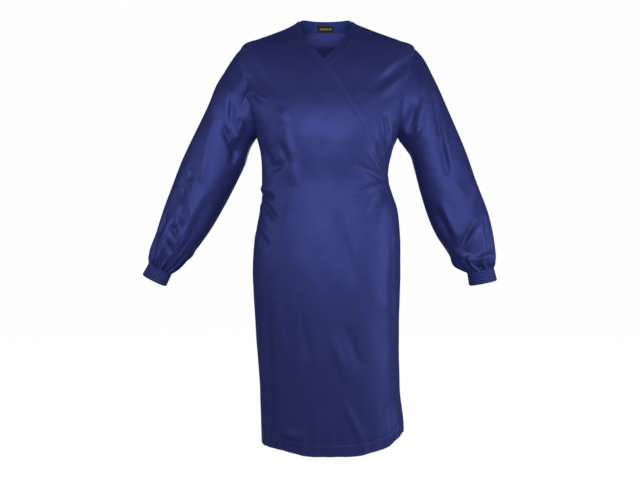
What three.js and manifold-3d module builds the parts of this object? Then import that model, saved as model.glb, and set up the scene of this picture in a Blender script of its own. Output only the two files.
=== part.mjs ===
// A wrap-over protective work gown with long sleeves, held open in its worn shape.
// Millimetres. +Z is up, the front faces -Y and +X is the wearer's left.
// The origin is the middle of the neck opening, level with the two points where the shoulder seams
// meet the neckline: that is where a wearer or a hanger carries the gown.
import * as THREE from "three";
import { mergeVertices } from "three/addons/utils/BufferGeometryUtils.js";
import Module from "manifold-3d";

const wasm = await Module();
wasm.setup();

// ---- Driving dimensions -------------------------------------------------------------------------

const CLOTH = 1.2; // panel thickness
const FACING = 0.8; // thickness of a facing strip and of the label
const GAP = 0.4; // between two pieces that touch
const LINING_GAP = 1.0; // between a panel and the facing sewn inside it

const LENGTH = 1010; // neck point down to the hem
const SHOULDER_DROP = 60; // neck point down to the shoulder point
const ARMPIT_DROP = 277;
const WAIST_DROP = 385;
const HIP_DROP = 600;
const NECK_HALF = 67; // middle of the neck out to the neck point
const BACK_NECK_RISE = 15; // how far the neckline stands above the neck points at the back
const SHOULDER_HALF = 212; // middle out to the shoulder point
const CHEST_HALF = 168; // half width at the armpits
const WAIST_HALF = 152;
const HIP_HALF = 174;
const HEM_HALF = 160;
const NECKLINE_DEPTH = 105; // neck point down to where the two fronts cross

const ARMHOLE_HALF = 55; // half the armhole's width, front to back
const FACING_WIDTH = 34;
const LABEL = { width: 38, height: 17.5, fromTop: 8, offset: -2 }; // offset: sideways from the middle

const CUFF = { height: 28, elastic: 20, elasticThick: 1.0 };
const TIE = { width: 28, thick: 1.2, tail: 330, loop: 92, knot: 30 };
const SLIT = { height: 36, half: 8 }; // opening in the right side seam that the inner tie passes through

// How far the outer front stands off the layer under it, to leave room for its own facing.
const OVERLAP = 2 * LINING_GAP + FACING;
const GIRTH_STEPS = 32;
const BODY_ROWS = 24;
const SLEEVE_STEPS = 14;
const RING_POINTS = 18;
const CUFF_POINTS = 14;

// ---- Body form: half widths and depths down the body --------------------------------------------

// [drop below the neck point, half width on the right, half width on the left, front depth, back depth]
const BODY = [
  [-BACK_NECK_RISE - 3, NECK_HALF - 4, NECK_HALF - 4, 8, 57],
  [0, NECK_HALF, NECK_HALF, 16, 60],
  [18, NECK_HALF + 25, NECK_HALF + 37, 26, 62],
  [34, SHOULDER_HALF - 82, SHOULDER_HALF - 66, 38, 65],
  [48, SHOULDER_HALF - 44, SHOULDER_HALF - 28, 50, 70],
  [SHOULDER_DROP, SHOULDER_HALF - 14, SHOULDER_HALF - 1, 62, 78],
  [100, SHOULDER_HALF, SHOULDER_HALF + 2, 90, 96],
  [160, SHOULDER_HALF - 9, SHOULDER_HALF - 8, 112, 107],
  [220, SHOULDER_HALF - 24, SHOULDER_HALF - 22, 129, 108],
  [ARMPIT_DROP, CHEST_HALF - 2, CHEST_HALF + 3, 133, 103],
  [320, CHEST_HALF - 12, CHEST_HALF - 14, 128, 97],
  [WAIST_DROP, WAIST_HALF + 1, WAIST_HALF - 4, 118, 90],
  [450, WAIST_HALF + 6, WAIST_HALF + 15, 118, 99],
  [520, HIP_HALF - 3, HIP_HALF + 1, 121, 115],
  [HIP_DROP, HIP_HALF + 1, HIP_HALF + 1, 123, 126],
  [760, HEM_HALF + 6, HEM_HALF + 12, 121, 127],
  [890, HEM_HALF - 4, HEM_HALF + 15, 121, 125],
  [LENGTH + 15, HEM_HALF - 10, HEM_HALF + 16, 123, 125],
];
const SECTION_POWER = 2.3; // 2 is an ellipse; a higher power is squarer

// Smooth values between the rows of a table, for t from 0 at the first row to 1 at the last.
// The rows are spaced by how far apart their first two columns are.
function tableCurve(rows) {
  const knots = [0];
  for (let i = 1; i < rows.length; i++) {
    knots.push(knots[i - 1] + Math.hypot(rows[i][0] - rows[i - 1][0], rows[i][1] - rows[i - 1][1]));
  }
  const slope = (c, i, j) => (rows[j][c] - rows[i][c]) / (knots[j] - knots[i]);
  return (t) => {
    const k = THREE.MathUtils.clamp(t, 0, 1) * knots[knots.length - 1];
    let i = 0;
    while (i < knots.length - 2 && knots[i + 1] < k) i++;
    const h = knots[i + 1] - knots[i];
    const s = (k - knots[i]) / h;
    return rows[i].map((from, c) => {
      const before = slope(c, Math.max(i - 1, 0), i + 1);
      const after = slope(c, i, Math.min(i + 2, rows.length - 1));
      const to = rows[i + 1][c];
      return (
        from * (1 + 2 * s) * (1 - s) ** 2 +
        to * s * s * (3 - 2 * s) +
        h * (before * s * (1 - s) ** 2 - after * s * s * (1 - s))
      );
    });
  };
}
const bodyCurve = tableCurve(BODY);

// A point on the body. angle is 0 at the front middle, 90 degrees at the wearer's left side.
function bodyPoint(angle, t) {
  const [drop, right, left, front, back] = bodyCurve(t);
  const s = Math.sin(angle);
  const c = Math.cos(angle);
  const e = 2 / SECTION_POWER;
  return new THREE.Vector3(
    s > 0 ? left * s ** e : -right * (-s) ** e,
    c > 0 ? -front * c ** e : back * (-c) ** e,
    -drop,
  );
}

// The t at which the body is at this height.
function bodyT(z) {
  let low = 0;
  let high = 1;
  for (let i = 0; i < 40; i++) {
    const mid = (low + high) / 2;
    if (-bodyCurve(mid)[0] > z) low = mid;
    else high = mid;
  }
  return low;
}

// How far out the body's side is at (y, z), where an armhole's edge runs.
function bodySide(y, z, side) {
  const [, right, left, front, back] = bodyCurve(bodyT(z));
  const share = Math.min(1, Math.abs(y) / (y < 0 ? front : back));
  return side * (side > 0 ? left : right) * (1 - share ** SECTION_POWER) ** (1 / SECTION_POWER);
}

// ---- Solids -------------------------------------------------------------------------------------

function manifoldOf(points, triangles) {
  const make = (tris) =>
    new wasm.Manifold(
      new wasm.Mesh({
        numProp: 3,
        vertProperties: Float32Array.from(points.flatMap((p) => [p.x, p.y, p.z])),
        triVerts: Uint32Array.from(tris.flat()),
      }),
    );
  const solid = make(triangles);
  return solid.volume() < 0 ? make(triangles.map(([a, b, c]) => [a, c, b])) : solid;
}

// Closed body whose rings join up in both directions, like a torus.
function ringSolid(rings) {
  const n = rings[0].length;
  const triangles = [];
  rings.forEach((_, i) => {
    const next = ((i + 1) % rings.length) * n;
    for (let j = 0; j < n; j++) {
      const k = (j + 1) % n;
      triangles.push([i * n + j, i * n + k, next + j], [i * n + k, next + k, next + j]);
    }
  });
  return manifoldOf(rings.flat(), triangles);
}

// Closed body through a row of four-cornered sections, with its two ends capped.
function strapSolid(sections) {
  const triangles = [[0, 1, 2], [0, 2, 3]];
  for (let i = 0; i < sections.length - 1; i++) {
    for (let j = 0; j < 4; j++) {
      const a = i * 4 + j;
      const b = i * 4 + ((j + 1) % 4);
      triangles.push([a, a + 4, b], [b, a + 4, b + 4]);
    }
  }
  const last = (sections.length - 1) * 4;
  triangles.push([last, last + 2, last + 1], [last, last + 3, last + 2]);
  return manifoldOf(sections.flat(), triangles);
}

// Outward unit normals of a grid of rings that run round a middle line.
function gridNormals(rings) {
  return rings.map((ring, i) =>
    ring.map((_, j) => {
      const n = ring.length;
      const round = ring[(j + 1) % n].clone().sub(ring[(j - 1 + n) % n]);
      const along = rings[Math.min(i + 1, rings.length - 1)][j].clone().sub(rings[Math.max(i - 1, 0)][j]);
      return round.cross(along).normalize();
    }),
  );
}

// The wall between two offsets of a grid of rings. An offset is a number or a function of the
// ring's index j.
function wall(rings, outer, inner) {
  const normals = gridNormals(rings);
  const middle = rings[0].reduce((sum, p) => sum.add(p), new THREE.Vector3()).divideScalar(rings[0].length);
  const out = normals[0][0].dot(rings[0][0].clone().sub(middle)) > 0 ? 1 : -1;
  const at = (offset) =>
    rings.map((ring, i) =>
      ring.map((p, j) => {
        const d = typeof offset === "function" ? offset(j) : offset;
        return p.clone().addScaledVector(normals[i][j], out * d);
      }),
    );
  return ringSolid([...at(outer), ...at(inner).reverse()]);
}

function solidFromGeometry(geometry) {
  const bare = new THREE.BufferGeometry();
  bare.setAttribute("position", geometry.getAttribute("position"));
  if (geometry.index) bare.setIndex(geometry.index);
  const merged = mergeVertices(bare, 1e-4);
  const p = merged.getAttribute("position");
  const points = Array.from({ length: p.count }, (_, i) => new THREE.Vector3().fromBufferAttribute(p, i));
  const triangles = [];
  for (let i = 0; i < merged.index.count; i += 3) {
    triangles.push([merged.index.getX(i), merged.index.getX(i + 1), merged.index.getX(i + 2)]);
  }
  return manifoldOf(points, triangles);
}

// Outline drawn in the front view (X, Z), cut through from y = from to y = to.
function frontPrism(outline, from, to) {
  const shape = new THREE.Shape(outline.map(([x, z]) => new THREE.Vector2(x, z)));
  const geometry = new THREE.ExtrudeGeometry(shape, { depth: to - from, bevelEnabled: false });
  return solidFromGeometry(geometry.rotateX(Math.PI / 2).translate(0, to, 0));
}

// Outline drawn in the side view (Y, Z), cut through from x = from to x = to.
function sidePrism(outline, from, to) {
  const shape = new THREE.Shape(outline.map(([y, z]) => new THREE.Vector2(y, z)));
  const geometry = new THREE.ExtrudeGeometry(shape, { depth: to - from, bevelEnabled: false });
  const basis = new THREE.Matrix4().makeBasis(
    new THREE.Vector3(0, 1, 0),
    new THREE.Vector3(0, 0, 1),
    new THREE.Vector3(1, 0, 0),
  );
  return solidFromGeometry(geometry.applyMatrix4(basis).translate(from, 0, 0));
}

function block(low, high) {
  const size = high.map((v, i) => v - low[i]);
  const middle = high.map((v, i) => (v + low[i]) / 2);
  return solidFromGeometry(new THREE.BoxGeometry(...size).translate(...middle));
}

// Long round bar along an axis through a point, used to cut the clearance round a joint.
function bar(point, axis, radius) {
  const geometry = new THREE.CylinderGeometry(radius, radius, 800, 48);
  const turn = new THREE.Quaternion().setFromUnitVectors(new THREE.Vector3(0, 1, 0), axis);
  geometry.applyMatrix4(new THREE.Matrix4().makeRotationFromQuaternion(turn));
  return solidFromGeometry(geometry.translate(point.x, point.y, point.z));
}

// Everything on the far side of a plane through a point, as a large box.
function beyond(point, direction) {
  const size = 1600;
  const geometry = new THREE.BoxGeometry(size, size, size).translate(0, 0, size / 2);
  const turn = new THREE.Quaternion().setFromUnitVectors(new THREE.Vector3(0, 0, 1), direction);
  geometry.applyMatrix4(new THREE.Matrix4().makeRotationFromQuaternion(turn));
  return solidFromGeometry(geometry.translate(point.x, point.y, point.z));
}

// ---- Outlines of the fronts ---------------------------------------------------------------------

const FAR = 900; // past the gown on any side

// Points of a smooth curve through a few given ones.
function smoothThrough(points, steps) {
  const curve = new THREE.SplineCurve(points.map(([x, z]) => new THREE.Vector2(x, z)));
  return curve.getPoints(steps).map((p) => [p.x, p.y]);
}

const WRAP_END_DROP = WAIST_DROP - 9; // where the outer front's edge reaches the left side
const HEM_Z = -LENGTH;
const CORNER_LIFT = 22; // the outer front's free corner hangs higher than the hem

// The outer front's free edge: from the right neck point, over the bust, to the left side.
const outerEdge = smoothThrough(
  [
    [-NECK_HALF + 2, 2],
    [-NECK_HALF * 0.7, -NECKLINE_DEPTH * 0.54],
    [-18, -NECKLINE_DEPTH * 0.94],
    [CHEST_HALF * 0.39, -NECKLINE_DEPTH - 109],
    [CHEST_HALF * 0.62, -NECKLINE_DEPTH - 170],
    [WAIST_HALF - 18, -WRAP_END_DROP],
  ],
  20,
);

// The inner front's free edge mirrors it down to the right side, under the outer front.
const innerEdge = smoothThrough(
  [
    [NECK_HALF - 2, 2],
    [NECK_HALF * 0.43, -NECKLINE_DEPTH * 0.53],
    [-10, -NECKLINE_DEPTH],
    [-CHEST_HALF * 0.36, -NECKLINE_DEPTH - 80],
    [-CHEST_HALF * 0.6, -NECKLINE_DEPTH - 190],
    [-WAIST_HALF * 0.82, -WAIST_DROP - 30],
  ],
  20,
);

// The hem seen from the front: level, and lifted towards the left side.
const hemLine = smoothThrough(
  [
    [-FAR, HEM_Z + 3],
    [-HEM_HALF, HEM_Z + 3],
    [0, HEM_Z - 2],
    [HEM_HALF * 0.75, HEM_Z - 2],
    [HEM_HALF + 8, HEM_Z + CORNER_LIFT * 0.75],
    [HEM_HALF + 60, HEM_Z + CORNER_LIFT * 3],
  ],
  24,
);

const ABOVE = 60; // past the top of the gown
const outerOutline = [
  ...hemLine,
  [FAR, -WRAP_END_DROP],
  ...outerEdge.slice().reverse(),
  [-NECK_HALF + 2, ABOVE],
  [-FAR, ABOVE],
];
const INNER_HEM_X = -HEM_HALF * 0.78; // how far the inner front runs under the outer one at the hem
const innerOutline = [
  [FAR, ABOVE],
  [NECK_HALF - 2, ABOVE],
  ...innerEdge,
  [-WAIST_HALF * 0.82, -WAIST_DROP - 60],
  [INNER_HEM_X, HEM_Z + 3],
  ...hemLine.filter(([x]) => x > INNER_HEM_X),
];

// The line along which the outer front opens, from the neck point down to the hem.
const FOLD_TOP = [-NECK_HALF - 5, 5];
const FOLD_FOOT = [-HEM_HALF * 0.675, HEM_Z - 40];
const foldX = (z) => THREE.MathUtils.mapLinear(z, FOLD_TOP[1], FOLD_FOOT[1], FOLD_TOP[0], FOLD_FOOT[0]);
const wrapSide = (shift) => [
  [foldX(ABOVE) + shift, ABOVE],
  [foldX(HEM_Z - ABOVE) + shift, HEM_Z - ABOVE],
  [FAR, HEM_Z - ABOVE],
  [FAR, ABOVE],
];

// A strip of the given width along an edge; sign is the side of the edge that the cloth is on.
function edgeStrip(edge, width, sign) {
  const inner = edge.map(([x, z], i) => {
    const [x0, z0] = edge[Math.max(i - 1, 0)];
    const [x1, z1] = edge[Math.min(i + 1, edge.length - 1)];
    const long = Math.hypot(x1 - x0, z1 - z0);
    return [x + (sign * (z1 - z0) * width) / long, z - (sign * (x1 - x0) * width) / long];
  });
  return [...edge, ...inner.reverse()];
}

// ---- Cloth layers -------------------------------------------------------------------------------

const bodyRings = Array.from({ length: BODY_ROWS + 1 }, (_, i) =>
  Array.from({ length: GIRTH_STEPS }, (_, j) => bodyPoint((j / GIRTH_STEPS) * 2 * Math.PI, i / BODY_ROWS)),
);
const bodyLayer = (outer, inner) => wall(bodyRings, outer, inner);

// How far the inside of the outer front stands off the body form, by the ring's index: it starts
// level with the back at the right side seam and rises over the inner front.
function riseOver(j) {
  const angle = (j / GIRTH_STEPS) * 360;
  const fromSeam = THREE.MathUtils.clamp((angle > 180 ? angle - 270 : 90) / 20, 0, 1);
  return OVERLAP * fromSeam;
}

const frontHalf = block([-FAR, -FAR, -2 * FAR], [FAR, -GAP / 2, FAR]);
const backHalf = block([-FAR, GAP / 2, -2 * FAR], [FAR, FAR, FAR]);

// Egg-shaped armhole in the side view, widest low down. shrink draws it in all round.
const ARMHOLE_TOP = -SHOULDER_DROP - 3;
function armholePoint(turn, shrink) {
  const middle = (ARMHOLE_TOP - ARMPIT_DROP) / 2;
  const half = (ARMHOLE_TOP + ARMPIT_DROP) / 2 - shrink;
  const wide = (ARMHOLE_HALF - shrink) * (1 - 0.3 * Math.cos(turn));
  return [-wide * Math.sin(turn) + 3, middle + half * Math.cos(turn)];
}
function armholeCut(side) {
  const corners = 2 * RING_POINTS;
  const outline = Array.from({ length: corners }, (_, i) => armholePoint((i / corners) * 2 * Math.PI, 0));
  const near = CHEST_HALF * 0.72;
  return sidePrism(outline, side > 0 ? near : -FAR, side > 0 ? FAR : -near);
}
const armholes = armholeCut(1).add(armholeCut(-1));

// Everything above the back neckline, which stands up behind the neck.
const aboveNeckline = sidePrism(
  [
    [-FAR, 0],
    [0, 0],
    [10, BACK_NECK_RISE * 0.4],
    [24, BACK_NECK_RISE * 0.85],
    [40, BACK_NECK_RISE],
    [FAR, BACK_NECK_RISE],
    [FAR, 200],
    [-FAR, 200],
  ],
  -FAR,
  FAR,
);
const slitZ = -WAIST_DROP - 43;
const slit = block(
  [-WAIST_HALF - 60, -SLIT.half, slitZ - SLIT.height / 2],
  [-WAIST_HALF + 30, SLIT.half, slitZ + SLIT.height / 2],
);

// ---- Sleeves ------------------------------------------------------------------------------------

// Stations down a sleeve, measured from the shoulder point, positive outwards and downwards:
// [outer edge out, outer edge down, inner edge out, inner edge down, middle y, half depth].
// The last is where the cuff starts.
const RIGHT_SLEEVE = [
  [38, 76, -34, 236, 2, 60],
  [73, 148, -25, 258, 4, 62],
  [108, 220, -18, 277, 5, 63],
  [149, 316, 27, 370, 4, 62],
  [184, 412, 76, 459, -6, 57],
  [202, 475, 117, 509, -16, 46],
  [208, 516, 156, 543, -24, 26],
];
const LEFT_SLEEVE = [
  [44, 76, -31, 228, 2, 60],
  [78, 148, -17, 248, 4, 62],
  [111, 220, -9, 262, 5, 63],
  [147, 316, 16, 356, 4, 63],
  [178, 415, 53, 452, -6, 60],
  [187, 490, 90, 510, -16, 48],
  [185, 529, 125, 542, -24, 27],
];
const SHOULDER_STATION = 0;
const ELBOW_STATION = 3;
const ELBOW_CLEAR = 1.42; // the elbow's clearance bar, as a share of the sleeve's half depth

function stationFrame(side, [outX, outDown, inX, inDown, y, depth]) {
  const outer = new THREE.Vector3(side * (SHOULDER_HALF + outX), y, -SHOULDER_DROP - outDown);
  const inner = new THREE.Vector3(side * (SHOULDER_HALF + inX), y, -SHOULDER_DROP - inDown);
  const middle = outer.clone().add(inner).divideScalar(2);
  const out = outer.clone().sub(inner).divideScalar(2);
  const half = out.length();
  out.normalize();
  return { middle, out, half, depth, down: new THREE.Vector3(side * out.z, 0, -side * out.x) };
}

// Rings down a sleeve, from the armhole through each station.
function sleeveRings(side, stations) {
  const frames = stations.map((s) => stationFrame(side, s));
  const lines = Array.from({ length: RING_POINTS }, (_, j) => {
    const turn = (j / RING_POINTS) * 2 * Math.PI;
    const [y, z] = armholePoint(turn, GAP);
    const start = new THREE.Vector3(bodySide(y, z, side) - side * CLOTH, y, z);
    const points = frames.map(({ middle, out, half, depth }) =>
      middle
        .clone()
        .addScaledVector(out, half * Math.cos(turn))
        .add(new THREE.Vector3(0, -depth * Math.sin(turn), 0)),
    );
    return new THREE.CatmullRomCurve3([start, ...points], false, "centripetal");
  });
  const steps = Array.from({ length: SLEEVE_STEPS + 1 }, (_, i) => i / SLEEVE_STEPS);
  return steps.map((step) => lines.map((line) => line.getPoint(step)));
}

// One sleeve, split at the shoulder and the elbow, each split a round gap about the joint's axis.
function sleevePieces(side, stations) {
  const tube = wall(sleeveRings(side, stations), 0, -CLOTH);
  const shoulder = stationFrame(side, stations[SHOULDER_STATION]);
  const elbow = stationFrame(side, stations[ELBOW_STATION]);
  const across = new THREE.Vector3(0, 1, 0);
  const shoulderBar = (grow) => bar(shoulder.middle, across, shoulder.half + 6 + grow);
  const elbowBar = (grow) => bar(elbow.middle, elbow.out, elbow.depth * ELBOW_CLEAR + grow);
  const pastShoulder = beyond(shoulder.middle, shoulder.down);
  const pastElbow = beyond(elbow.middle, elbow.down);
  const arm = tube.intersect(pastShoulder).subtract(shoulderBar(GAP / 2));
  return {
    head: tube.subtract(pastShoulder.subtract(shoulderBar(-GAP / 2))),
    upper: arm.subtract(pastElbow.subtract(elbowBar(-GAP / 2))),
    lower: arm.intersect(pastElbow).subtract(elbowBar(GAP / 2)),
  };
}

// A cuff is a band folded over its elastic: two walls joined at the foot, open towards the sleeve.
function cuffPieces(side, stations) {
  const top = stationFrame(side, stations[stations.length - 1]);
  const down = top.down;
  const room = CUFF.elasticThick + 2 * GAP;
  const ring = (drop, inset) =>
    Array.from({ length: CUFF_POINTS }, (_, j) => {
      const turn = (j / CUFF_POINTS) * 2 * Math.PI;
      const flare = 1 + 0.06 * (drop / CUFF.height);
      return top.middle
        .clone()
        .addScaledVector(down, drop)
        .addScaledVector(top.out, (top.half * flare - inset) * Math.cos(turn))
        .add(new THREE.Vector3(0, -(top.depth * flare - inset) * Math.sin(turn), 0));
    });
  const start = GAP + 0.4;
  const band = ringSolid([
    ring(start, -CLOTH),
    ring(CUFF.height, -CLOTH),
    ring(CUFF.height, room + CLOTH),
    ring(start, room + CLOTH),
    ring(start, room),
    ring(CUFF.height - CLOTH, room),
    ring(CUFF.height - CLOTH, 0),
    ring(start, 0),
  ]);
  const from = CUFF.height - CLOTH - GAP - CUFF.elastic;
  const elastic = ringSolid([
    ring(from, GAP),
    ring(from + CUFF.elastic, GAP),
    ring(from + CUFF.elastic, GAP + CUFF.elasticThick),
    ring(from, GAP + CUFF.elasticThick),
  ]);
  return { band, elastic };
}

// ---- Ties ---------------------------------------------------------------------------------------

// A strap along points with an outward direction at each, its width lying across the path.
// width is a number or a function of the point's index.
function strap(points, outward, width, thick) {
  return strapSolid(
    points.map((p, i) => {
      const wide = typeof width === "function" ? width(i) : width;
      const after = points[Math.min(i + 1, points.length - 1)];
      const along = after.clone().sub(points[Math.max(i - 1, 0)]).normalize();
      const out = outward[i].clone().addScaledVector(along, -outward[i].dot(along)).normalize();
      const across = along.clone().cross(out).multiplyScalar(wide / 2);
      return [
        p.clone().add(across),
        p.clone().sub(across),
        p.clone().sub(across).addScaledVector(out, thick),
        p.clone().add(across).addScaledVector(out, thick),
      ];
    }),
  );
}

// A point standing off the body, and the way out from the body there.
function offBody(degrees, z, standOff) {
  const angle = THREE.MathUtils.degToRad(degrees);
  const t = bodyT(z);
  const step = 0.01;
  const round = bodyPoint(angle + step, t).sub(bodyPoint(angle - step, t));
  const along = bodyPoint(angle, Math.min(1, t + step)).sub(bodyPoint(angle, Math.max(0, t - step)));
  const out = along.cross(round).normalize();
  return { point: bodyPoint(angle, t).addScaledVector(out, standOff), out };
}

const KNOT_Z = -WAIST_DROP - 6;
const TIE_CLEAR = 3; // a tie's stand-off over the faceted back
const knotHalf = TIE.knot / 2;

// A tie from a side to the knot. angles run to 180 degrees, the middle of the back.
function roundTie(angles, startZ, standOff) {
  const last = angles[angles.length - 1];
  const spots = angles.map((a) => {
    const share = (a - angles[0]) / (last - angles[0]);
    return offBody(a, THREE.MathUtils.lerp(startZ, KNOT_Z, share), standOff(a));
  });
  return strap(
    spots.map((s) => s.point),
    spots.map((s) => s.out),
    TIE.width,
    TIE.thick,
  );
}

const backAtKnot = offBody(180, KNOT_Z, 0).point.y;
const knotY = backAtKnot + TIE_CLEAR + TIE.thick + GAP + 7;

// The knot: a rounded lump in front of the two crossing ties.
function knotSolid() {
  const geometry = new THREE.SphereGeometry(1, 14, 8);
  geometry.scale(knotHalf * 0.95, 7, knotHalf * 0.8);
  return solidFromGeometry(geometry.translate(0, knotY, KNOT_Z));
}

// A bow loop: out from the knot, round, and back to it.
function bowLoop(side) {
  const steps = 20;
  const points = Array.from({ length: steps + 1 }, (_, i) => {
    const turn = THREE.MathUtils.degToRad(THREE.MathUtils.lerp(14, 346, i / steps));
    const out = TIE.loop * 0.5 * (1 - Math.cos(turn));
    const swell = 12 * Math.sin(turn) * Math.sin(turn / 2);
    return new THREE.Vector3(side * (knotHalf * 0.9 + out), knotY + 3 - swell, KNOT_Z - out * 0.42);
  });
  const outward = points.map((_, i) => {
    const turn = THREE.MathUtils.degToRad(THREE.MathUtils.lerp(14, 346, i / steps));
    return new THREE.Vector3(side * -Math.cos(turn), -Math.sin(turn), 0.42 * Math.cos(turn));
  });
  return strap(points, outward, TIE.width * 0.9, TIE.thick);
}

// A tail: hangs from under the knot, outside the back of the skirt.
const TAIL_TOP = KNOT_Z - knotHalf * 0.8 - 0.1;
function tieTail(side) {
  const steps = 14;
  const spread = (drop) => Math.min(1, drop / 60); // pinched at the knot, full width lower down
  const drops = Array.from({ length: steps + 1 }, (_, i) => (TIE.tail * (side > 0 ? 1 : 0.86) * i) / steps);
  const points = drops.map((drop) => {
    const z = TAIL_TOP - drop;
    const x = side * (4 + 13 * spread(drop) + drop * 0.11);
    const skin = offBody(180, Math.max(z, HEM_Z), 0).point.y;
    return new THREE.Vector3(x, Math.max(skin + TIE_CLEAR + 4, knotY - TIE.thick / 2), z);
  });
  const width = (i) => THREE.MathUtils.lerp(7, TIE.width, spread(drops[i]));
  return strap(points, points.map(() => new THREE.Vector3(0, 1, 0)), width, TIE.thick);
}

// ---- Assembly -----------------------------------------------------------------------------------

const cloth = new THREE.MeshStandardMaterial({ color: 0x26296b, roughness: 0.62, metalness: 0 });
const facingCloth = new THREE.MeshStandardMaterial({ color: 0x2a2f72, roughness: 0.7, metalness: 0 });
const elasticRubber = new THREE.MeshStandardMaterial({ color: 0xd8d6cc, roughness: 0.85, metalness: 0 });
const labelWeave = new THREE.MeshStandardMaterial({ color: 0x14120f, roughness: 0.55, metalness: 0 });

const gown = new THREE.Group();
gown.name = "wrap_over_gown";

function piece(parent, name, solid, material) {
  const made = solid.getMesh();
  const geometry = new THREE.BufferGeometry();
  geometry.setAttribute("position", new THREE.BufferAttribute(new Float32Array(made.vertProperties), 3));
  geometry.setIndex(new THREE.BufferAttribute(new Uint32Array(made.triVerts), 1));
  geometry.computeVertexNormals();
  const mesh = new THREE.Mesh(geometry, material);
  mesh.name = name;
  parent.add(mesh);
}

// The same for the outside of the outer front.
const outerOffset = (j) => riseOver(j) * (1 + CLOTH / OVERLAP);

// The largest of a solid's separate bodies, which leaves out any sliver that a cut made.
function largest(solid) {
  const bodies = solid.decompose();
  return bodies.reduce((best, body) => (body.volume() > best.volume() ? body : best));
}

function bodyPanels() {
  const group = new THREE.Group();
  const under = bodyLayer(0, -CLOTH);
  const over = bodyLayer(outerOffset, (j) => outerOffset(j) - CLOTH);
  const backHem = frontPrism([...hemLine, [FAR, 60], [-FAR, 60]], 0, FAR);
  const cuts = armholes.add(slit);
  const front = frontHalf.subtract(block([-FAR, -FAR, -GAP], [FAR, FAR, FAR])).subtract(armholes);
  const back = under.intersect(backHalf).intersect(backHem).subtract(cuts).subtract(aboveNeckline);
  const left = under.intersect(front).intersect(frontPrism(innerOutline, -FAR, 0)).subtract(slit);
  const right = over.intersect(front).intersect(frontPrism(outerOutline, -FAR, 0));
  const rightSide = right.subtract(frontPrism(wrapSide(-GAP / 2), -FAR, 0)).subtract(slit);
  const rightWrap = right.intersect(frontPrism(wrapSide(GAP / 2), -FAR, 0));
  piece(group, "back_panel", back, cloth);
  piece(group, "left_front_panel", left, cloth);
  piece(group, "right_front_side", rightSide, cloth);
  piece(group, "right_front_wrap", rightWrap, cloth);
  return group;
}

function facings() {
  const group = new THREE.Group();
  const underFrom = -CLOTH - LINING_GAP;
  const lining = bodyLayer(underFrom, underFrom - FACING);
  const atSeam = block([-FAR, -FAR, -GAP - 2], [FAR, FAR, FAR]).add(block([-FAR, -3, -FAR], [FAR, FAR, FAR]));
  const leftStrip = frontPrism(edgeStrip(innerEdge, FACING_WIDTH, -1), -FAR, 0);
  piece(group, "left_front_facing", lining.intersect(leftStrip).subtract(atSeam), facingCloth);
  const overFrom = (j) => riseOver(j) - LINING_GAP;
  const overLining = bodyLayer(overFrom, (j) => overFrom(j) - FACING);
  const rightEdge = outerEdge.filter(([, z]) => z < -NECKLINE_DEPTH * 0.3);
  const rightStrip = frontPrism(edgeStrip(rightEdge, FACING_WIDTH, 1), -FAR, 0);
  const rightFold = frontPrism(wrapSide(GAP), -FAR, 0);
  piece(group, "right_front_facing", overLining.intersect(rightStrip).intersect(rightFold), facingCloth);
  const neckBand = block([-FAR, 6, -FACING_WIDTH + BACK_NECK_RISE], [FAR, FAR, FAR]);
  const neckFrom = underFrom - 0.6;
  const neckLining = bodyLayer(neckFrom, neckFrom - FACING);
  const neck = neckLining.intersect(backHalf).intersect(neckBand).subtract(aboveNeckline);
  piece(group, "back_neck_facing", neck, facingCloth);
  const labelFrom = neckFrom - FACING - GAP;
  const top = BACK_NECK_RISE - LABEL.fromTop;
  const labelX = (across) => across * LABEL.width / 2 + LABEL.offset;
  const spot = block([labelX(-1), 0, top - LABEL.height], [labelX(1), FAR, top]);
  piece(group, "neck_label", bodyLayer(labelFrom, labelFrom - FACING).intersect(spot), labelWeave);
  return group;
}

function sleeves() {
  const group = new THREE.Group();
  for (const [name, side, stations] of [["right", -1, RIGHT_SLEEVE], ["left", 1, LEFT_SLEEVE]]) {
    const { head, upper, lower } = sleevePieces(side, stations);
    const panel = bodyLayer(side < 0 ? (j) => outerOffset(j) + GAP : GAP, -3 * CLOTH);
    const { band, elastic } = cuffPieces(side, stations);
    piece(group, `${name}_sleeve_head`, largest(head.subtract(panel)), cloth);
    piece(group, `${name}_sleeve_upper`, upper, cloth);
    piece(group, `${name}_sleeve_lower`, lower, cloth);
    piece(group, `${name}_cuff`, band, cloth);
    piece(group, `${name}_cuff_elastic`, elastic, elasticRubber);
  }
  return group;
}

function ties() {
  const group = new THREE.Group();
  const outerStart = 96;
  const lifted = (a) => TIE_CLEAR + Math.max(0, 3 - (a - outerStart) / 8);
  const outerAngles = Array.from({ length: 13 }, (_, i) => THREE.MathUtils.lerp(outerStart, 179.5, i / 12));
  piece(group, "right_front_tie", roundTie(outerAngles, -WRAP_END_DROP - 14, lifted), cloth);
  const innerAngles = Array.from({ length: 19 }, (_, i) => THREE.MathUtils.lerp(-74, -179.5, i / 18));
  const inside = -CLOTH - GAP - 3;
  const { clamp, mapLinear } = THREE.MathUtils;
  const cross = (a) => mapLinear(clamp(-a, 86, 93), 86, 93, inside, TIE_CLEAR);
  piece(group, "left_front_tie", roundTie(innerAngles, slitZ - 6, cross), cloth);
  piece(group, "tie_knot", knotSolid(), cloth);
  for (const [name, side] of [["right", -1], ["left", 1]]) {
    piece(group, `${name}_bow_loop`, bowLoop(side), cloth);
    piece(group, `${name}_tie_tail`, tieTail(side), cloth);
  }
  return group;
}

gown.add(bodyPanels(), facings(), sleeves(), ties());

export default gown;
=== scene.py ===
"""A wrap-over work gown in navy satin twill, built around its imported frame. Sizes are in millimetres
until a mesh is made; the front faces -Y, +X is the wearer's left and the neck points are at z = 0."""

import math
from functools import partial
from math import pi, radians

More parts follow.
